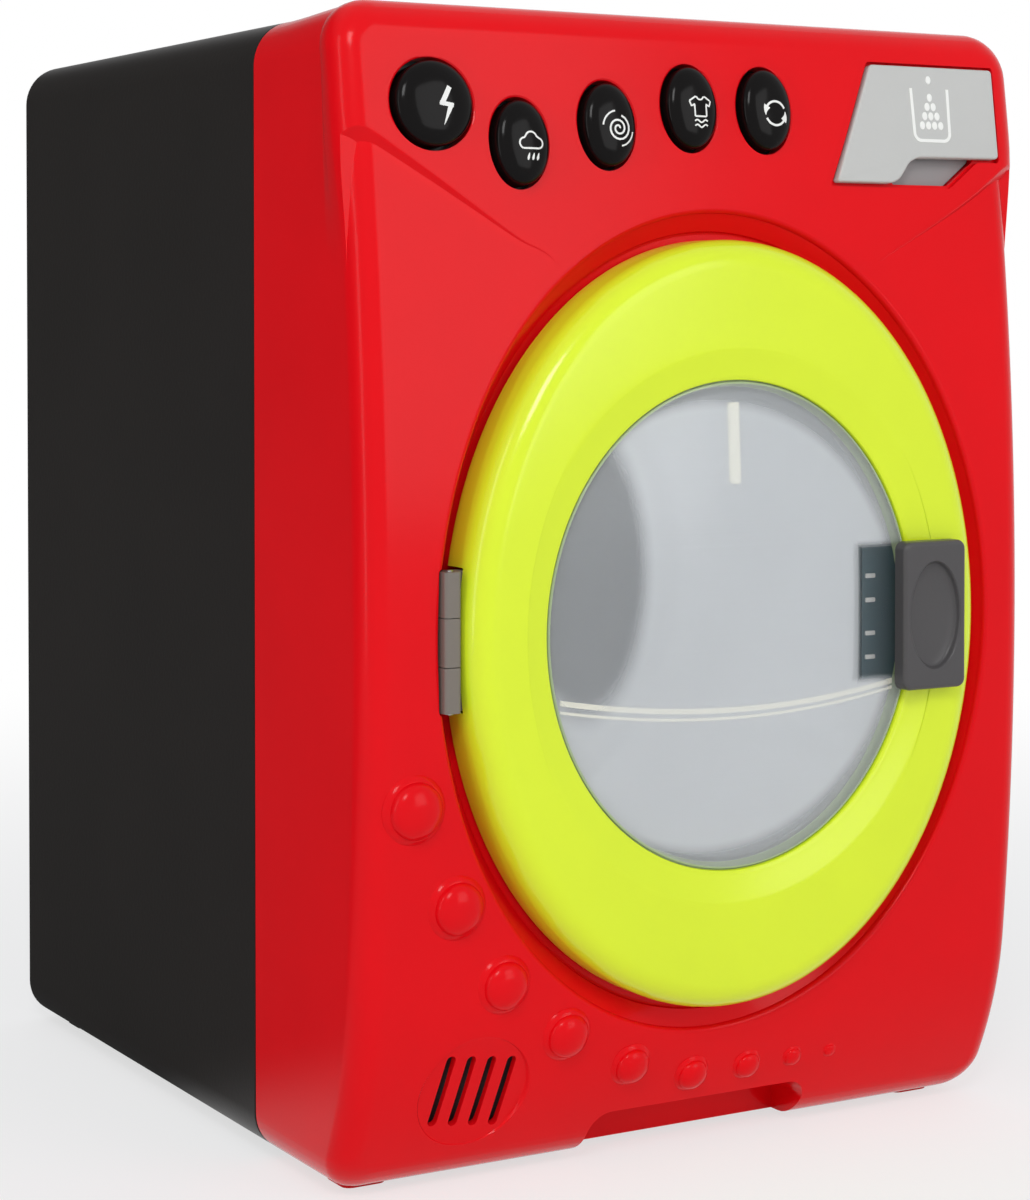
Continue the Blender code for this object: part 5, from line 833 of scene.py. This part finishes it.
# Clearer at the left, towards the rim, and over the latch's guide box.
amount = hazed((-35.5, 130.5), (14.5, 30), 0.42, 1, 0.16)
for factor in (hazed((-3.5, 117.5), (49, 48), 1, 0.5, 0.04),
               hazed((42.4, 118.5), (7.8, 15), 0.08, 1, 0.08, square=True), WINDOW_HAZE):
    amount = worked(haze_tree, "MULTIPLY", amount, factor)
haze_tree.links.new(amount, haze_tree.nodes["Principled BSDF"].inputs["Alpha"])
edge_green = clear_plastic("greenish clear edge", colour(186, 204, 160), 0.7, 0.1, 0.02)
finish(window, smoke, "door", "smoky_window", "door_window")
window.data.materials.append(edge_green)
for face in window.data.polygons:
    across = (face.center.x - DOOR_X) / (DOME_WIDE * MM)
    up = (face.center.z - DOOR_Z) / (DOME_TALL * MM)
    if across ** 2 + up ** 2 > GREEN_FROM:
        face.material_index = 1


def window_rib(name, low, high, rise):
    """A thin rib across the window's inner side that sags in its middle."""
    bpy.ops.mesh.primitive_grid_add(x_subdivisions=60, y_subdivisions=1, size=1)
    made = named(name)
    for point in made.data.vertices:
        share = point.co.x * 2
        x = share * 43.2
        middle = -18.3 + 3.75 * share ** 2 + rise * share
        z = middle + (high if point.co.y > 0 else low)
        y = dome_y(math.hypot(x / DOME_WIDE, z / DOME_TALL), WINDOW_WALL) - 0.05
        point.co = (DOOR_X + x * MM, y * MM, DOOR_Z + z * MM)
    return thicken(made, 0.5 * MM)


TOP_RIB_SHARE = 0.72


def top_rib():
    """The short upright rib at the top of the window's inner side."""
    middle = (dome_y(TOP_RIB_SHARE, WINDOW_WALL) + 0.25) * MM
    made = block("top_rib", (DOOR_X - 1.5 * MM, middle - 1.1 * MM, DOOR_Z + 30.5 * MM),
                 (DOOR_X + 1.5 * MM, middle + 0.5 * MM, DOOR_Z + 48 * MM))
    for point in made.data.vertices:
        share = (point.co.z - DOOR_Z) / (DOME_TALL * MM)
        point.co.y += (dome_y(share) - dome_y(TOP_RIB_SHARE)) * MM
    round_edges(made, 0.7 * MM, 4, lambda a, b: abs(a.y - b.y) > 0.5 * MM)
    return made


window_ribs = gather("window_ribs", [window_rib("rib", -0.55, 0.6, -0.45),
                                     window_rib("rib", -2.0, -1.4, -0.2), top_rib()])
cream = plastic("cream plastic", colour(240, 236, 214), 0.35)
finish(window_ribs, cream, "door", "smoky_window")


# Door retainer. A pale moulded plate that closes the back of the ring, with a collar that clamps
# the window and notches along the collar's edge. Four screws hold it, each in a sunk seat.
RETAINER = ((62.6, 79.6, -86), (63.1, 80.1, -86.3), (63.1, 80.1, -88), (50.1, 55.4, -88),
            (50.1, 55.4, -93), (48.5, 53.8, -93), (48.5, 53.8, -86.3), (48.9, 54.2, -86))
retainer = oval_stack("retainer_plate", DOOR_X, DOOR_Z, in_mm(RETAINER), looped=True)
cuts = []
for side in (-1, 1):
    for up in (-1, 1):
        x = DOOR_X + side * 42.24 * MM
        z = DOOR_Z + up * 49.8 * MM
        cuts.append(oval_stack("seat", x, z, in_mm((
            (1.2, 1.2, -90), (1.2, 1.2, -87.6), (2.3, 2.3, -87.6), (2.3, 2.3, -84))), segments=32))
for turn in list(range(28, 70, 7)) + list(range(-64, -22, 7)):
    angle = math.radians(turn)
    tooth = block("tooth", (-3 * MM, -94 * MM, -0.9 * MM), (3 * MM, -91.6 * MM, 0.9 * MM))
    place = Matrix.Translation((DOOR_X + 49.3 * MM * math.cos(angle), 0,
                                DOOR_Z + 54.6 * MM * math.sin(angle)))
    cuts.append(in_frame(tooth, place @ Matrix.Rotation(-angle, 4, "Y")))
cuts.append(block("housing_gap", (38.2 * MM, -100 * MM, DOOR_Z - 15.3 * MM),
                  (61.5 * MM, -88 * MM, DOOR_Z + 15.3 * MM)))
cuts.append(block("bolt_gap", (DOOR_X, -90 * MM, DOOR_Z - 6.5 * MM),
                  (55.1 * MM, -80 * MM, DOOR_Z + 6.5 * MM)))
for tool in cuts:
    boolean(retainer, "DIFFERENCE", tool)
smooth(retainer)
light_grey = plastic("light grey plastic", colour(192, 192, 189), 0.34, peel=0.03, sheen=0.35)
finish(retainer, light_grey, "door", "light_grey_plastic", "door_retainer")


# Latch. A sliding grey handle with a finger dish on the ring's face, its neck through the slot to
# the bolt, and a dark guide box behind the window's edge with four pale index marks.
HANDLE = ((43.6, -102, 101), (60.8, -98.3, 134))
latch_slide = block("latch_slide", [v * MM for v in HANDLE[0]], [v * MM for v in HANDLE[1]])
round_edges(latch_slide, 2 * MM, 6, along(1))
round_edges(latch_slide, 1.1 * MM, 5, lambda a, b: a.y < -101.9 * MM and b.y < -101.9 * MM,
            clamp_overlap=False)
DISH = ((7.5, 12.5, -104), (7.5, 12.5, -102.15), (7.15, 12.15, -102.02), (6.95, 11.95, -101.85),
        (6.8, 11.8, -101.5), (6.65, 11.65, -100.95), (6.4, 11.4, -100.6), (5.9, 10.9, -100.35),
        (4.5, 9.0, -100.22), (2.4, 5.5, -100.18), (0.3, 0.7, -100.16))
DISH_X = 52.2 * MM
dish = oval_stack("dish", DISH_X, DOOR_Z, in_mm(DISH), segments=96, tip=True)
boolean(latch_slide, "DIFFERENCE", dish)
boolean(latch_slide, "UNION", block("neck", (55.4 * MM, -99 * MM, DOOR_Z - 6 * MM),
                                    (59.4 * MM, -91.7 * MM, DOOR_Z + 6 * MM)))
smooth(latch_slide)
grey = plastic("grey plastic", colour(76, 74, 75), 0.32, peel=0.03, sheen=0.3)
finish(latch_slide, grey, "latch", "grey_plastic", "latch_handle")

MARK_HEIGHTS = (-9.5, -4.2, 3.2, 8.6)
latch_marks = []
for height in MARK_HEIGHTS:
    mark = block("mark", (39.3 * MM, -93.3 * MM, DOOR_Z + (height - 0.5) * MM),
                 (42 * MM, -92.9 * MM, DOOR_Z + (height + 0.5) * MM))
    round_edges(mark, 0.15 * MM, 2)
    latch_marks.append(mark)
marks = gather("latch_marks", latch_marks)
smooth(marks)
finish(marks, light_grey, "door", "grey_plastic")
teal = plastic("dark teal plastic", colour(38, 66, 74), 0.35, peel=0.03)


# Hinge. A grey leaf with two knuckles screwed to the ring's back, and the casing's bracket with
# the middle knuckle. The knuckles have flat faces in one line, and a steel pin runs through them.
HINGE_X, HINGE_Y, KNUCKLE = -66 * MM, -92.5 * MM, 1.95 * MM


def knuckle(name, low, high):
    """A barrel of rounded square section on the hinge's axis, with eased ends."""
    made = block(name, (HINGE_X - KNUCKLE, HINGE_Y - KNUCKLE, low),
                 (HINGE_X + KNUCKLE, HINGE_Y + KNUCKLE, high))
    round_edges(made, 0.8 * MM, 6, lambda a, b: abs(a.z - b.z) > NEAR)
    round_edges(made, 0.12 * MM, 2, lambda a, b: abs(a.z - b.z) < NEAR)
    return made


def pin_bore(name):
    """The bore for the hinge pin."""
    bpy.ops.mesh.primitive_cylinder_add(vertices=32, radius=1.2 * MM, depth=40 * MM,
                                        location=(HINGE_X, HINGE_Y, DOOR_Z))
    bpy.ops.object.transform_apply(location=True, rotation=True, scale=True)
    return named(name)


leaf = block("leaf_plate", (HINGE_X, -91.5 * MM, DOOR_Z - 14.5 * MM),
             (HINGE_X + 15 * MM, -88.3 * MM, DOOR_Z + 14.5 * MM))
round_edges(leaf, 0.5 * MM, 3, lambda a, b: abs(a.y - b.y) < NEAR)
boolean(leaf, "UNION", knuckle("barrel", DOOR_Z - 14.5 * MM, DOOR_Z + 14.5 * MM))
boolean(leaf, "DIFFERENCE", block("leaf_gap", (HINGE_X - 6 * MM, HINGE_Y - 6 * MM,
                                               DOOR_Z - 5.15 * MM),
                                  (HINGE_X + 2.7 * MM, HINGE_Y + 6 * MM, DOOR_Z + 5.15 * MM)),
        pin_bore("bore"))
leaf.name = "hinge_leaf"
smooth(leaf)
hinge_grey = plastic("hinge grey plastic", colour(120, 112, 105), 0.36, peel=0.03, sheen=0.3)
finish(leaf, hinge_grey, "door", "hinge_grey_plastic", "door_hinge_leaf")

hinge_stay = knuckle("hinge_stay", DOOR_Z - 5 * MM, DOOR_Z + 5 * MM)
boolean(hinge_stay, "UNION", block("stay_plate", (HINGE_X - 1.1 * MM, HINGE_Y, DOOR_Z - 5 * MM),
                                   (HINGE_X + 1.1 * MM, -82.1 * MM, DOOR_Z + 5 * MM)))
boolean(hinge_stay, "DIFFERENCE", pin_bore("bore"))
smooth(hinge_stay)
finish(hinge_stay, hinge_grey, "casing", "hinge_grey_plastic", "hinge_bracket")


# Push buttons. Glossy black domes, each with a flange behind the panel. A white pictogram is
# printed a little right of and below the middle of each dome.
BUTTON_RIM, BUTTON_DOME, FLANGE_FRONT, FLANGE, FLANGE_EASE = 0.8, 2.4, 4.5, 1.3, 0.3
DOME_SHARES = (0.995, 0.98, 0.955, 0.92, 0.87, 0.8, 0.7, 0.58, 0.44, 0.3, 0.15, 0.02)
ICON_LIFT, ICON_PLACE, INK_DEPTH, OVAL_HALF = 0.07, Vector((0.35, -0.9)), 0.3, 6.4
black = plastic("glossy black plastic", colour(14, 12, 12), 0.13, peel=0.006, sheen=0.09)
icon_white = plastic("white printed ink", colour(236, 236, 232), 0.4, peel=0.02)


def dome_depth(half_x, half_z, across, up):
    """How deep a dome's surface lies in the panel's frame, in millimetres."""
    share = min(1, math.hypot(across / half_x, up / half_z))
    return -BUTTON_RIM - BUTTON_DOME * math.sqrt(max(0, 1 - share ** 3))


def stroke(points, width, depth):
    """A printed line through points in millimetres. The depth is a function of the place."""
    bpy.ops.mesh.primitive_grid_add(x_subdivisions=len(points) - 1, y_subdivisions=1, size=1)
    made = named("stroke")
    for number, point in enumerate(made.data.vertices):
        row, column = divmod(number, len(points))
        here = Vector(points[column])
        before = Vector(points[max(column - 1, 0)])
        after = Vector(points[min(column + 1, len(points) - 1)])
        ahead = (after - before).normalized()
        wide = width if isinstance(width, (int, float)) else width[column]
        across, up = here + Vector((-ahead.y, ahead.x)) * wide * (row - 0.5)
        point.co = (across * MM, depth(across, up) * MM, up * MM)
    return thicken(made, INK_DEPTH * MM)


def round_points(middle, radii, angles):
    """Points round a middle, each at its own radius and angle."""
    return [(middle[0] + radius * math.cos(angle), middle[1] + radius * math.sin(angle))
            for radius, angle in zip(radii, angles)]


def arc(middle, radius, start, end, steps=12):
    """Points along an arc, its angles in degrees."""
    angles = [math.radians(start + (end - start) * n / steps) for n in range(steps + 1)]
    return round_points(middle, [radius] * (steps + 1), angles)


def line(start, end, steps=6):
    """Points along a straight line."""
    return [(start[0] + (end[0] - start[0]) * n / steps, start[1] + (end[1] - start[1]) * n / steps)
            for n in range(steps + 1)]


def wave(start, length, height, turns=1.5, steps=18):
    """Points along a level wavy line."""
    return [(start[0] + length * n / steps,
             start[1] + height * math.sin(2 * math.pi * turns * n / steps))
            for n in range(steps + 1)]


def coil(middle, start, end, turns, steps=40):
    """Points along a spiral between two radii."""
    radii = [start + (end - start) * n / steps for n in range(steps + 1)]
    return round_points(middle, radii, [2 * math.pi * turns * n / steps for n in range(steps + 1)])


def pictogram(name):
    """The lines of one button's pictogram, each as its points and its width."""
    if name == "power":
        return [(line((1.9, 3.3), (0.1, 0.1)), 1.1), (line((-0.2, 0.45), (2.5, 0.05)), 0.9),
                (line((2.1, 0.4), (0.5, -3.4)), [1.2, 1.05, 0.9, 0.7, 0.5, 0.3, 0.1])]
    if name == "rinse":
        cloud = arc((-0.9, 0.3), 1.0, 250, 90, 8) + arc((0.5, 1.2), 1.2, 150, 20, 9)
        cloud += arc((2.0, 0.3), 0.95, 80, -80, 8)
        drops = [(line((n, -1.5), (n - 0.35, -2.8), 4), [0.15, 0.35, 0.5, 0.55, 0.2])
                 for n in range(3)]
        return [(cloud, 0.38), (line((-1.2, -0.65), (2.1, -0.65)), 0.38)] + drops
    if name == "spin":
        return [(coil((0.5, -0.2), 0.25, 2.5, 2.2), 0.42),
                (arc((0.5, -0.2), 3.3, 100, 170, 8), 0.36),
                (arc((0.5, -0.2), 3.3, -80, -10, 8), 0.36)]
    if name == "dry":
        shirt = line((-1.9, 1.7), (-0.6, 2.5), 4) + arc((0.5, 2.7), 0.75, 200, 340, 6)
        shirt += line((1.6, 2.5), (2.9, 1.7), 4) + line((2.5, 0.7), (1.8, 1.1), 3)
        shirt += line((1.8, 0.9), (1.8, -1.1), 4) + line((1.6, -1.2), (-0.6, -1.2), 4)
        shirt += line((-0.8, -1.1), (-0.8, 0.9), 4) + line((-0.8, 1.1), (-1.5, 0.7), 3)
        return [(shirt + [(-1.9, 1.7)], 0.36), (wave((-0.9, -2.1), 2.9, 0.25), 0.34),
                (wave((-0.9, -3.0), 2.9, 0.25), 0.34)]
    turns = []
    for start in (25, 205):
        turns.append((arc((0.5, -0.2), 2.3, start, start + 125, 14), 0.5))
        tip = arc((0.5, -0.2), 2.3, start + 118, start + 165, 6)
        turns.append((tip, [1.7, 1.45, 1.2, 0.9, 0.6, 0.3, 0.05]))
    return turns


for name, x, z, half_x, half_z in BUTTONS:
    back = FLANGE_FRONT + FLANGE
    rings = [(half_x + FLANGE - FLANGE_EASE, half_z + FLANGE - FLANGE_EASE, back),
             (half_x + FLANGE, half_z + FLANGE, back - FLANGE_EASE),
             (half_x + FLANGE, half_z + FLANGE, FLANGE_FRONT), (half_x, half_z, FLANGE_FRONT),
             (half_x, half_z, -BUTTON_RIM + 0.2)]
    rings += [(half_x * share, half_z * share, dome_depth(half_x, half_z, half_x * share, 0))
              for share in DOME_SHARES]
    place = PANEL @ Matrix.Translation((x * MM, 0, z * MM))
    dome = in_frame(oval_stack(name + "_dome", 0, 0, in_mm(rings), 96, tip=True), place)
    smooth(dome)
    finish(dome, black, name + "_button", "black_button_plastic", "button_" + name)
    growth = 1.05 + 0.1 * (half_x / OVAL_HALF)
    strokes = [stroke([Vector(p) * growth + ICON_PLACE for p in points], width, lambda across, up:
                      dome_depth(half_x, half_z, across, up) - ICON_LIFT)
               for points, width in pictogram(name)]
    print_white = in_frame(gather(name + "_pictogram", strokes), place)
    finish(print_white, icon_white, name + "_button", "black_button_plastic")


# Detergent drawer. A pale plate with rounded edges and a stepped lower right corner, a printed
# measuring cup with grains over it, a grip lip behind the step in a darker grey that is painted
# shade, and an open tray that slides in the housing behind.
PLATE = ((0, 0), (0.33, 0), (0.375, 0.03), (0.41, 0.1), (0.445, 0.18), (0.5, 0.222), (1, 0.23),
         (1, 1), (0.25, 1))
drawer_plate = panel_plate("drawer_plate", PLATE, 1.3, -0.7, 0.9, 4)
round_edges(drawer_plate, 0.55 * MM, 4, lambda a, b: a.y < -0.6 * MM and b.y < -0.6 * MM,
            clamp_overlap=False)
in_frame(drawer_plate, PANEL)
TRAY_LEFT, TRAY_RIGHT, TRAY_LOW, TRAY_HIGH, TRAY_LENGTH = 47, 75.5, 222.1, 237.1, 38
tray_front = (PANEL @ Vector((0, 0.3 * MM, 0))).y
tray = block("tray", (TRAY_LEFT * MM, tray_front, TRAY_LOW * MM),
             (TRAY_RIGHT * MM, tray_front + TRAY_LENGTH * MM, TRAY_HIGH * MM))
for point in tray.data.vertices:
    if abs(point.co.y - tray_front) < NEAR:
        point.co.y = (PANEL @ Vector((0, 0.3 * MM, point.co.z - 225 * MM))).y
round_edges(tray, 0.5 * MM, 3, lambda a, b: abs(a.y - b.y) > 1 * MM)
boolean(drawer_plate, "UNION", tray)
tray_space = block("tray_space", ((TRAY_LEFT + 1.5) * MM, tray_front + 5 * MM,
                                  (TRAY_LOW + 1.5) * MM),
                   ((TRAY_RIGHT - 1.5) * MM, tray_front + (TRAY_LENGTH - 1.5) * MM, 265 * MM))
round_edges(tray_space, 1.2 * MM, 4, lambda a, b: a.z < 225 * MM and b.z < 225 * MM
            or abs(a.z - b.z) > 1 * MM)
boolean(drawer_plate, "DIFFERENCE", tray_space)
GRIP_LIP = ((0.366, 0.008), (0.697, 0.008), (0.862, 0.22), (0.862, 0.337), (0.366, 0.337))
grip_lip = in_frame(panel_plate("grip_lip", GRIP_LIP, 4.15, 3.1, 0.4, 3), PANEL)
boolean(drawer_plate, "UNION", grip_lip)
smooth(drawer_plate)
finish(drawer_plate, light_grey, "drawer", "light_grey_plastic", "detergent_drawer")
# The grip lip's darker grey is painted shade for the place behind the plate's cut-away.
drawer_plate.data.materials.append(plastic("grip lip painted shade grey plastic", colour(140, 136, 136), 0.4))
# The faces of the grip lip behind the step take the painted shade.
for face in drawer_plate.data.polygons:
    place = PANEL.inverted() @ face.center
    if 2.9 * MM < place.y < 4.3 * MM and place.z < -1.9 * MM:
        face.material_index = 1


CUP_X, CUP_Z, CUP_DEPTH = 61.6, 4.6, -0.82
GRAIN = ((0.72, 0.95, -0.5), (0.72, 0.95, -0.78), (0.55, 0.78, -0.86))
cup = line((CUP_X - 5.2, CUP_Z + 6), (CUP_X - 5, CUP_Z - 4.2), 4)
cup += arc((CUP_X - 3.2, CUP_Z - 4.2), 1.8, 190, 270, 6)
cup += arc((CUP_X + 3.2, CUP_Z - 4.2), 1.8, 270, 350, 6)
cup += line((CUP_X + 5, CUP_Z - 4.2), (CUP_X + 5.2, CUP_Z + 6), 4)
cup_parts = [stroke(cup, 0.75, lambda across, up: CUP_DEPTH)]
for row, count in enumerate((4, 3, 2, 1, 1)):
    for number in range(count):
        grain = oval_stack("grain", 0, 0, in_mm(GRAIN), segments=20)
        lift = 2.15 * row + (1.9 if row == 4 else 0)
        grain.location = ((CUP_X + (number - (count - 1) / 2) * 1.75) * MM, 0,
                          (CUP_Z - 2.5 + lift) * MM)
        bpy.ops.object.transform_apply(location=True, rotation=True, scale=True)
        cup_parts.append(grain)
cup_print = in_frame(gather("cup_pictogram", cup_parts), PANEL)
cup_pale = plastic("pale printed ink", colour(238, 238, 234), 0.4, peel=0.02)
finish(cup_print, cup_pale, "drawer", "light_grey_plastic")


# Drum. A smooth white barrel with a rolled front lip, a round rear corner, a rear wall painted dark
# grey-green as painted shade, three lifters along its inside and a hub on the steel shaft.
DRUM_RADIUS, DRUM_FRONT, DRUM_REAR, DRUM_WALL, FILLET = 71, -79.3, 32.7, 1.8, 13
inner = DRUM_RADIUS - DRUM_WALL
drum_rings = [(DRUM_RADIUS - 0.6, DRUM_FRONT), (DRUM_RADIUS, DRUM_FRONT + 0.6),
              (DRUM_RADIUS, DRUM_REAR - 3), (DRUM_RADIUS - 0.9, DRUM_REAR - 0.9),
              (DRUM_RADIUS - 3, DRUM_REAR), (9, DRUM_REAR), (9, DRUM_REAR + 6),
              (3.3, DRUM_REAR + 6), (3.3, DRUM_REAR - DRUM_WALL), (20, DRUM_REAR - DRUM_WALL),
              (22, DRUM_REAR - DRUM_WALL - 1), (45, DRUM_REAR - DRUM_WALL - 1),
              (47, DRUM_REAR - DRUM_WALL)]
drum_rings += [(inner - FILLET * (1 - math.sin(math.radians(turn))),
                DRUM_REAR - DRUM_WALL - FILLET * (1 - math.cos(math.radians(turn))))
               for turn in range(0, 90, 10)]
drum_rings += [(inner, DRUM_REAR - DRUM_WALL - FILLET - 23 * n) for n in range(4)]
drum_rings += [(inner, DRUM_FRONT + 2.4), (inner - 0.7, DRUM_FRONT + 1.7),
               (inner - 1.7, DRUM_FRONT + 1.4), (inner - 2.2, DRUM_FRONT + 0.9),
               (inner - 2.2, DRUM_FRONT + 0.5), (inner - 1.8, DRUM_FRONT + 0.1),
               (inner - 1.4, DRUM_FRONT)]
drum_shape = oval_stack("drum_barrel", DOOR_X, DOOR_Z, in_mm([(r, r, y) for r, y in drum_rings]),
                        segments=90, looped=True)

LIFTERS, LIFTER_LONG, LIFTER_SHARP, LIFTER_TIP = 3, 90.5 * MM, 65 * MM, 0.34
for number in range(LIFTERS):
    lifter = block("lifter", (-6 * MM, DRUM_REAR * MM - LIFTER_LONG, (inner - 9) * MM),
                   (6 * MM, DRUM_REAR * MM - 0.9 * MM, (inner + 0.6) * MM))
    for point in lifter.data.vertices:
        if point.co.z < LIFTER_SHARP:
            point.co.x *= LIFTER_TIP
    round_edges(lifter, 1.3 * MM, 5, lambda a, b: a.z < LIFTER_SHARP and b.z < LIFTER_SHARP)
    turn = Matrix.Rotation(math.radians(360 / LIFTERS * number), 4, "Y")
    in_frame(lifter, Matrix.Translation((DOOR_X, 0, DOOR_Z)) @ turn)
    boolean(drum_shape, "UNION", lifter)
smooth(drum_shape, 30)
drum_white = plastic("drum white plastic", colour(238, 241, 243), 0.3, peel=0.02, sheen=0.4)
# The rear wall's dark grey-green is painted shade, standing in for the shadow inside the drum.
drum_painted_shade = plastic("drum rear wall painted shade", colour(44, 54, 52), 0.34, peel=0.03)
finish(drum_shape, drum_white, "drum_unit", "drum_white_plastic", "drum")
drum_shape.data.materials.append(drum_painted_shade)
# The inner faces of the rear wall that face the door take the painted shade.
PAINTED_SHADE_FROM_Y, PAINTED_SHADE_RADIUS = 20 * MM, 66 * MM
for face in drum_shape.data.polygons:
    out = math.hypot(face.center.x - DOOR_X, face.center.z - DOOR_Z)
    if face.normal.y < -0.5 and face.center.y > PAINTED_SHADE_FROM_Y and out < PAINTED_SHADE_RADIUS:
        face.material_index = 1


# Battery cover. A flat dark lid, flush in the rear wall, with four finger grips at its foot and a
# sunk seat for its screw.
cover = block("cover_lid", (-COVER_HALF, 99.6 * MM, COVER_LOW), (COVER_HALF, 102 * MM, COVER_HIGH))
round_edges(cover, 0.8 * MM, 4, along(1))
round_edges(cover, 0.35 * MM, 2, lambda a, b: a.y > 101.9 * MM and b.y > 101.9 * MM,
            clamp_overlap=False)
for number in range(4):
    low = COVER_LOW + (5.2 + 3.2 * number) * MM
    grip = block("grip", (-9 * MM, 101.2 * MM, low), (9 * MM, 104 * MM, low + 1.6 * MM))
    round_edges(grip, 0.3 * MM, 2, lambda a, b: abs(a.z - b.z) < NEAR and a.y < REAR_Y
                and b.y < REAR_Y or abs(a.x - b.x) > 1 * MM)
    boolean(cover, "DIFFERENCE", grip)
SCREW_HIGH = COVER_HIGH - 5.2 * MM
boolean(cover, "DIFFERENCE", oval_stack("screw_seat", 0, SCREW_HIGH, in_mm((
    (1.2, 1.2, 95), (1.2, 1.2, 100.4), (2.3, 2.3, 100.4), (2.3, 2.3, 101.8),
    (2.6, 2.6, 102.05), (2.6, 2.6, 104))), segments=48))
smooth(cover)
finish(cover, dark, "battery_door", "dark_plastic", "battery_cover")


# Carried-over solids. Each keeps its shape and gets its finish here: shells, fasteners, board,
# gears, motor, cells and the rest of the inside.
rubber = plastic("silicone rubber", colour(120, 122, 125), 0.6, peel=0.05)


def metal(name, base, rough):
    """Bare metal with fine drawn marks."""
    made = plastic(name, base, rough, peel=0.03, speck=0.05, peel_size=2500)
    made.node_tree.nodes["Principled BSDF"].inputs["Metallic"].default_value = 1
    return made


steel = metal("plated steel", colour(190, 190, 192), 0.28)
bronze = metal("sintered bronze", colour(176, 130, 80), 0.4)
board_green = plastic("board green lacquer", colour(28, 92, 52), 0.3)
jacket = plastic("battery jacket", colour(60, 62, 70), 0.28)
cone = plastic("speaker paper", colour(50, 50, 52), 0.8, peel=0.15)
SLOT_FINISH = {
    "red_plastic": red, "dark_plastic": dark, "lime_plastic": lime, "grey_plastic": grey,
    "light_grey_plastic": light_grey, "hinge_grey_plastic": hinge_grey,
    "black_button_plastic": black, "drum_white_plastic": drum_white, "steel": steel,
    "bronze_bush": bronze, "silicone_rubber": rubber, "board_green": board_green,
    "battery_jacket": jacket, "speaker_cone": cone, "smoky_window": light_grey,
}
for part in frame["record"]["subparts"]:
    for holder in frame["nodes"][part["node"]].material_slots:
        holder.material = SLOT_FINISH[part["material_slot"]]
for holder in frame["nodes"]["latch_housing"].material_slots:
    holder.material = teal
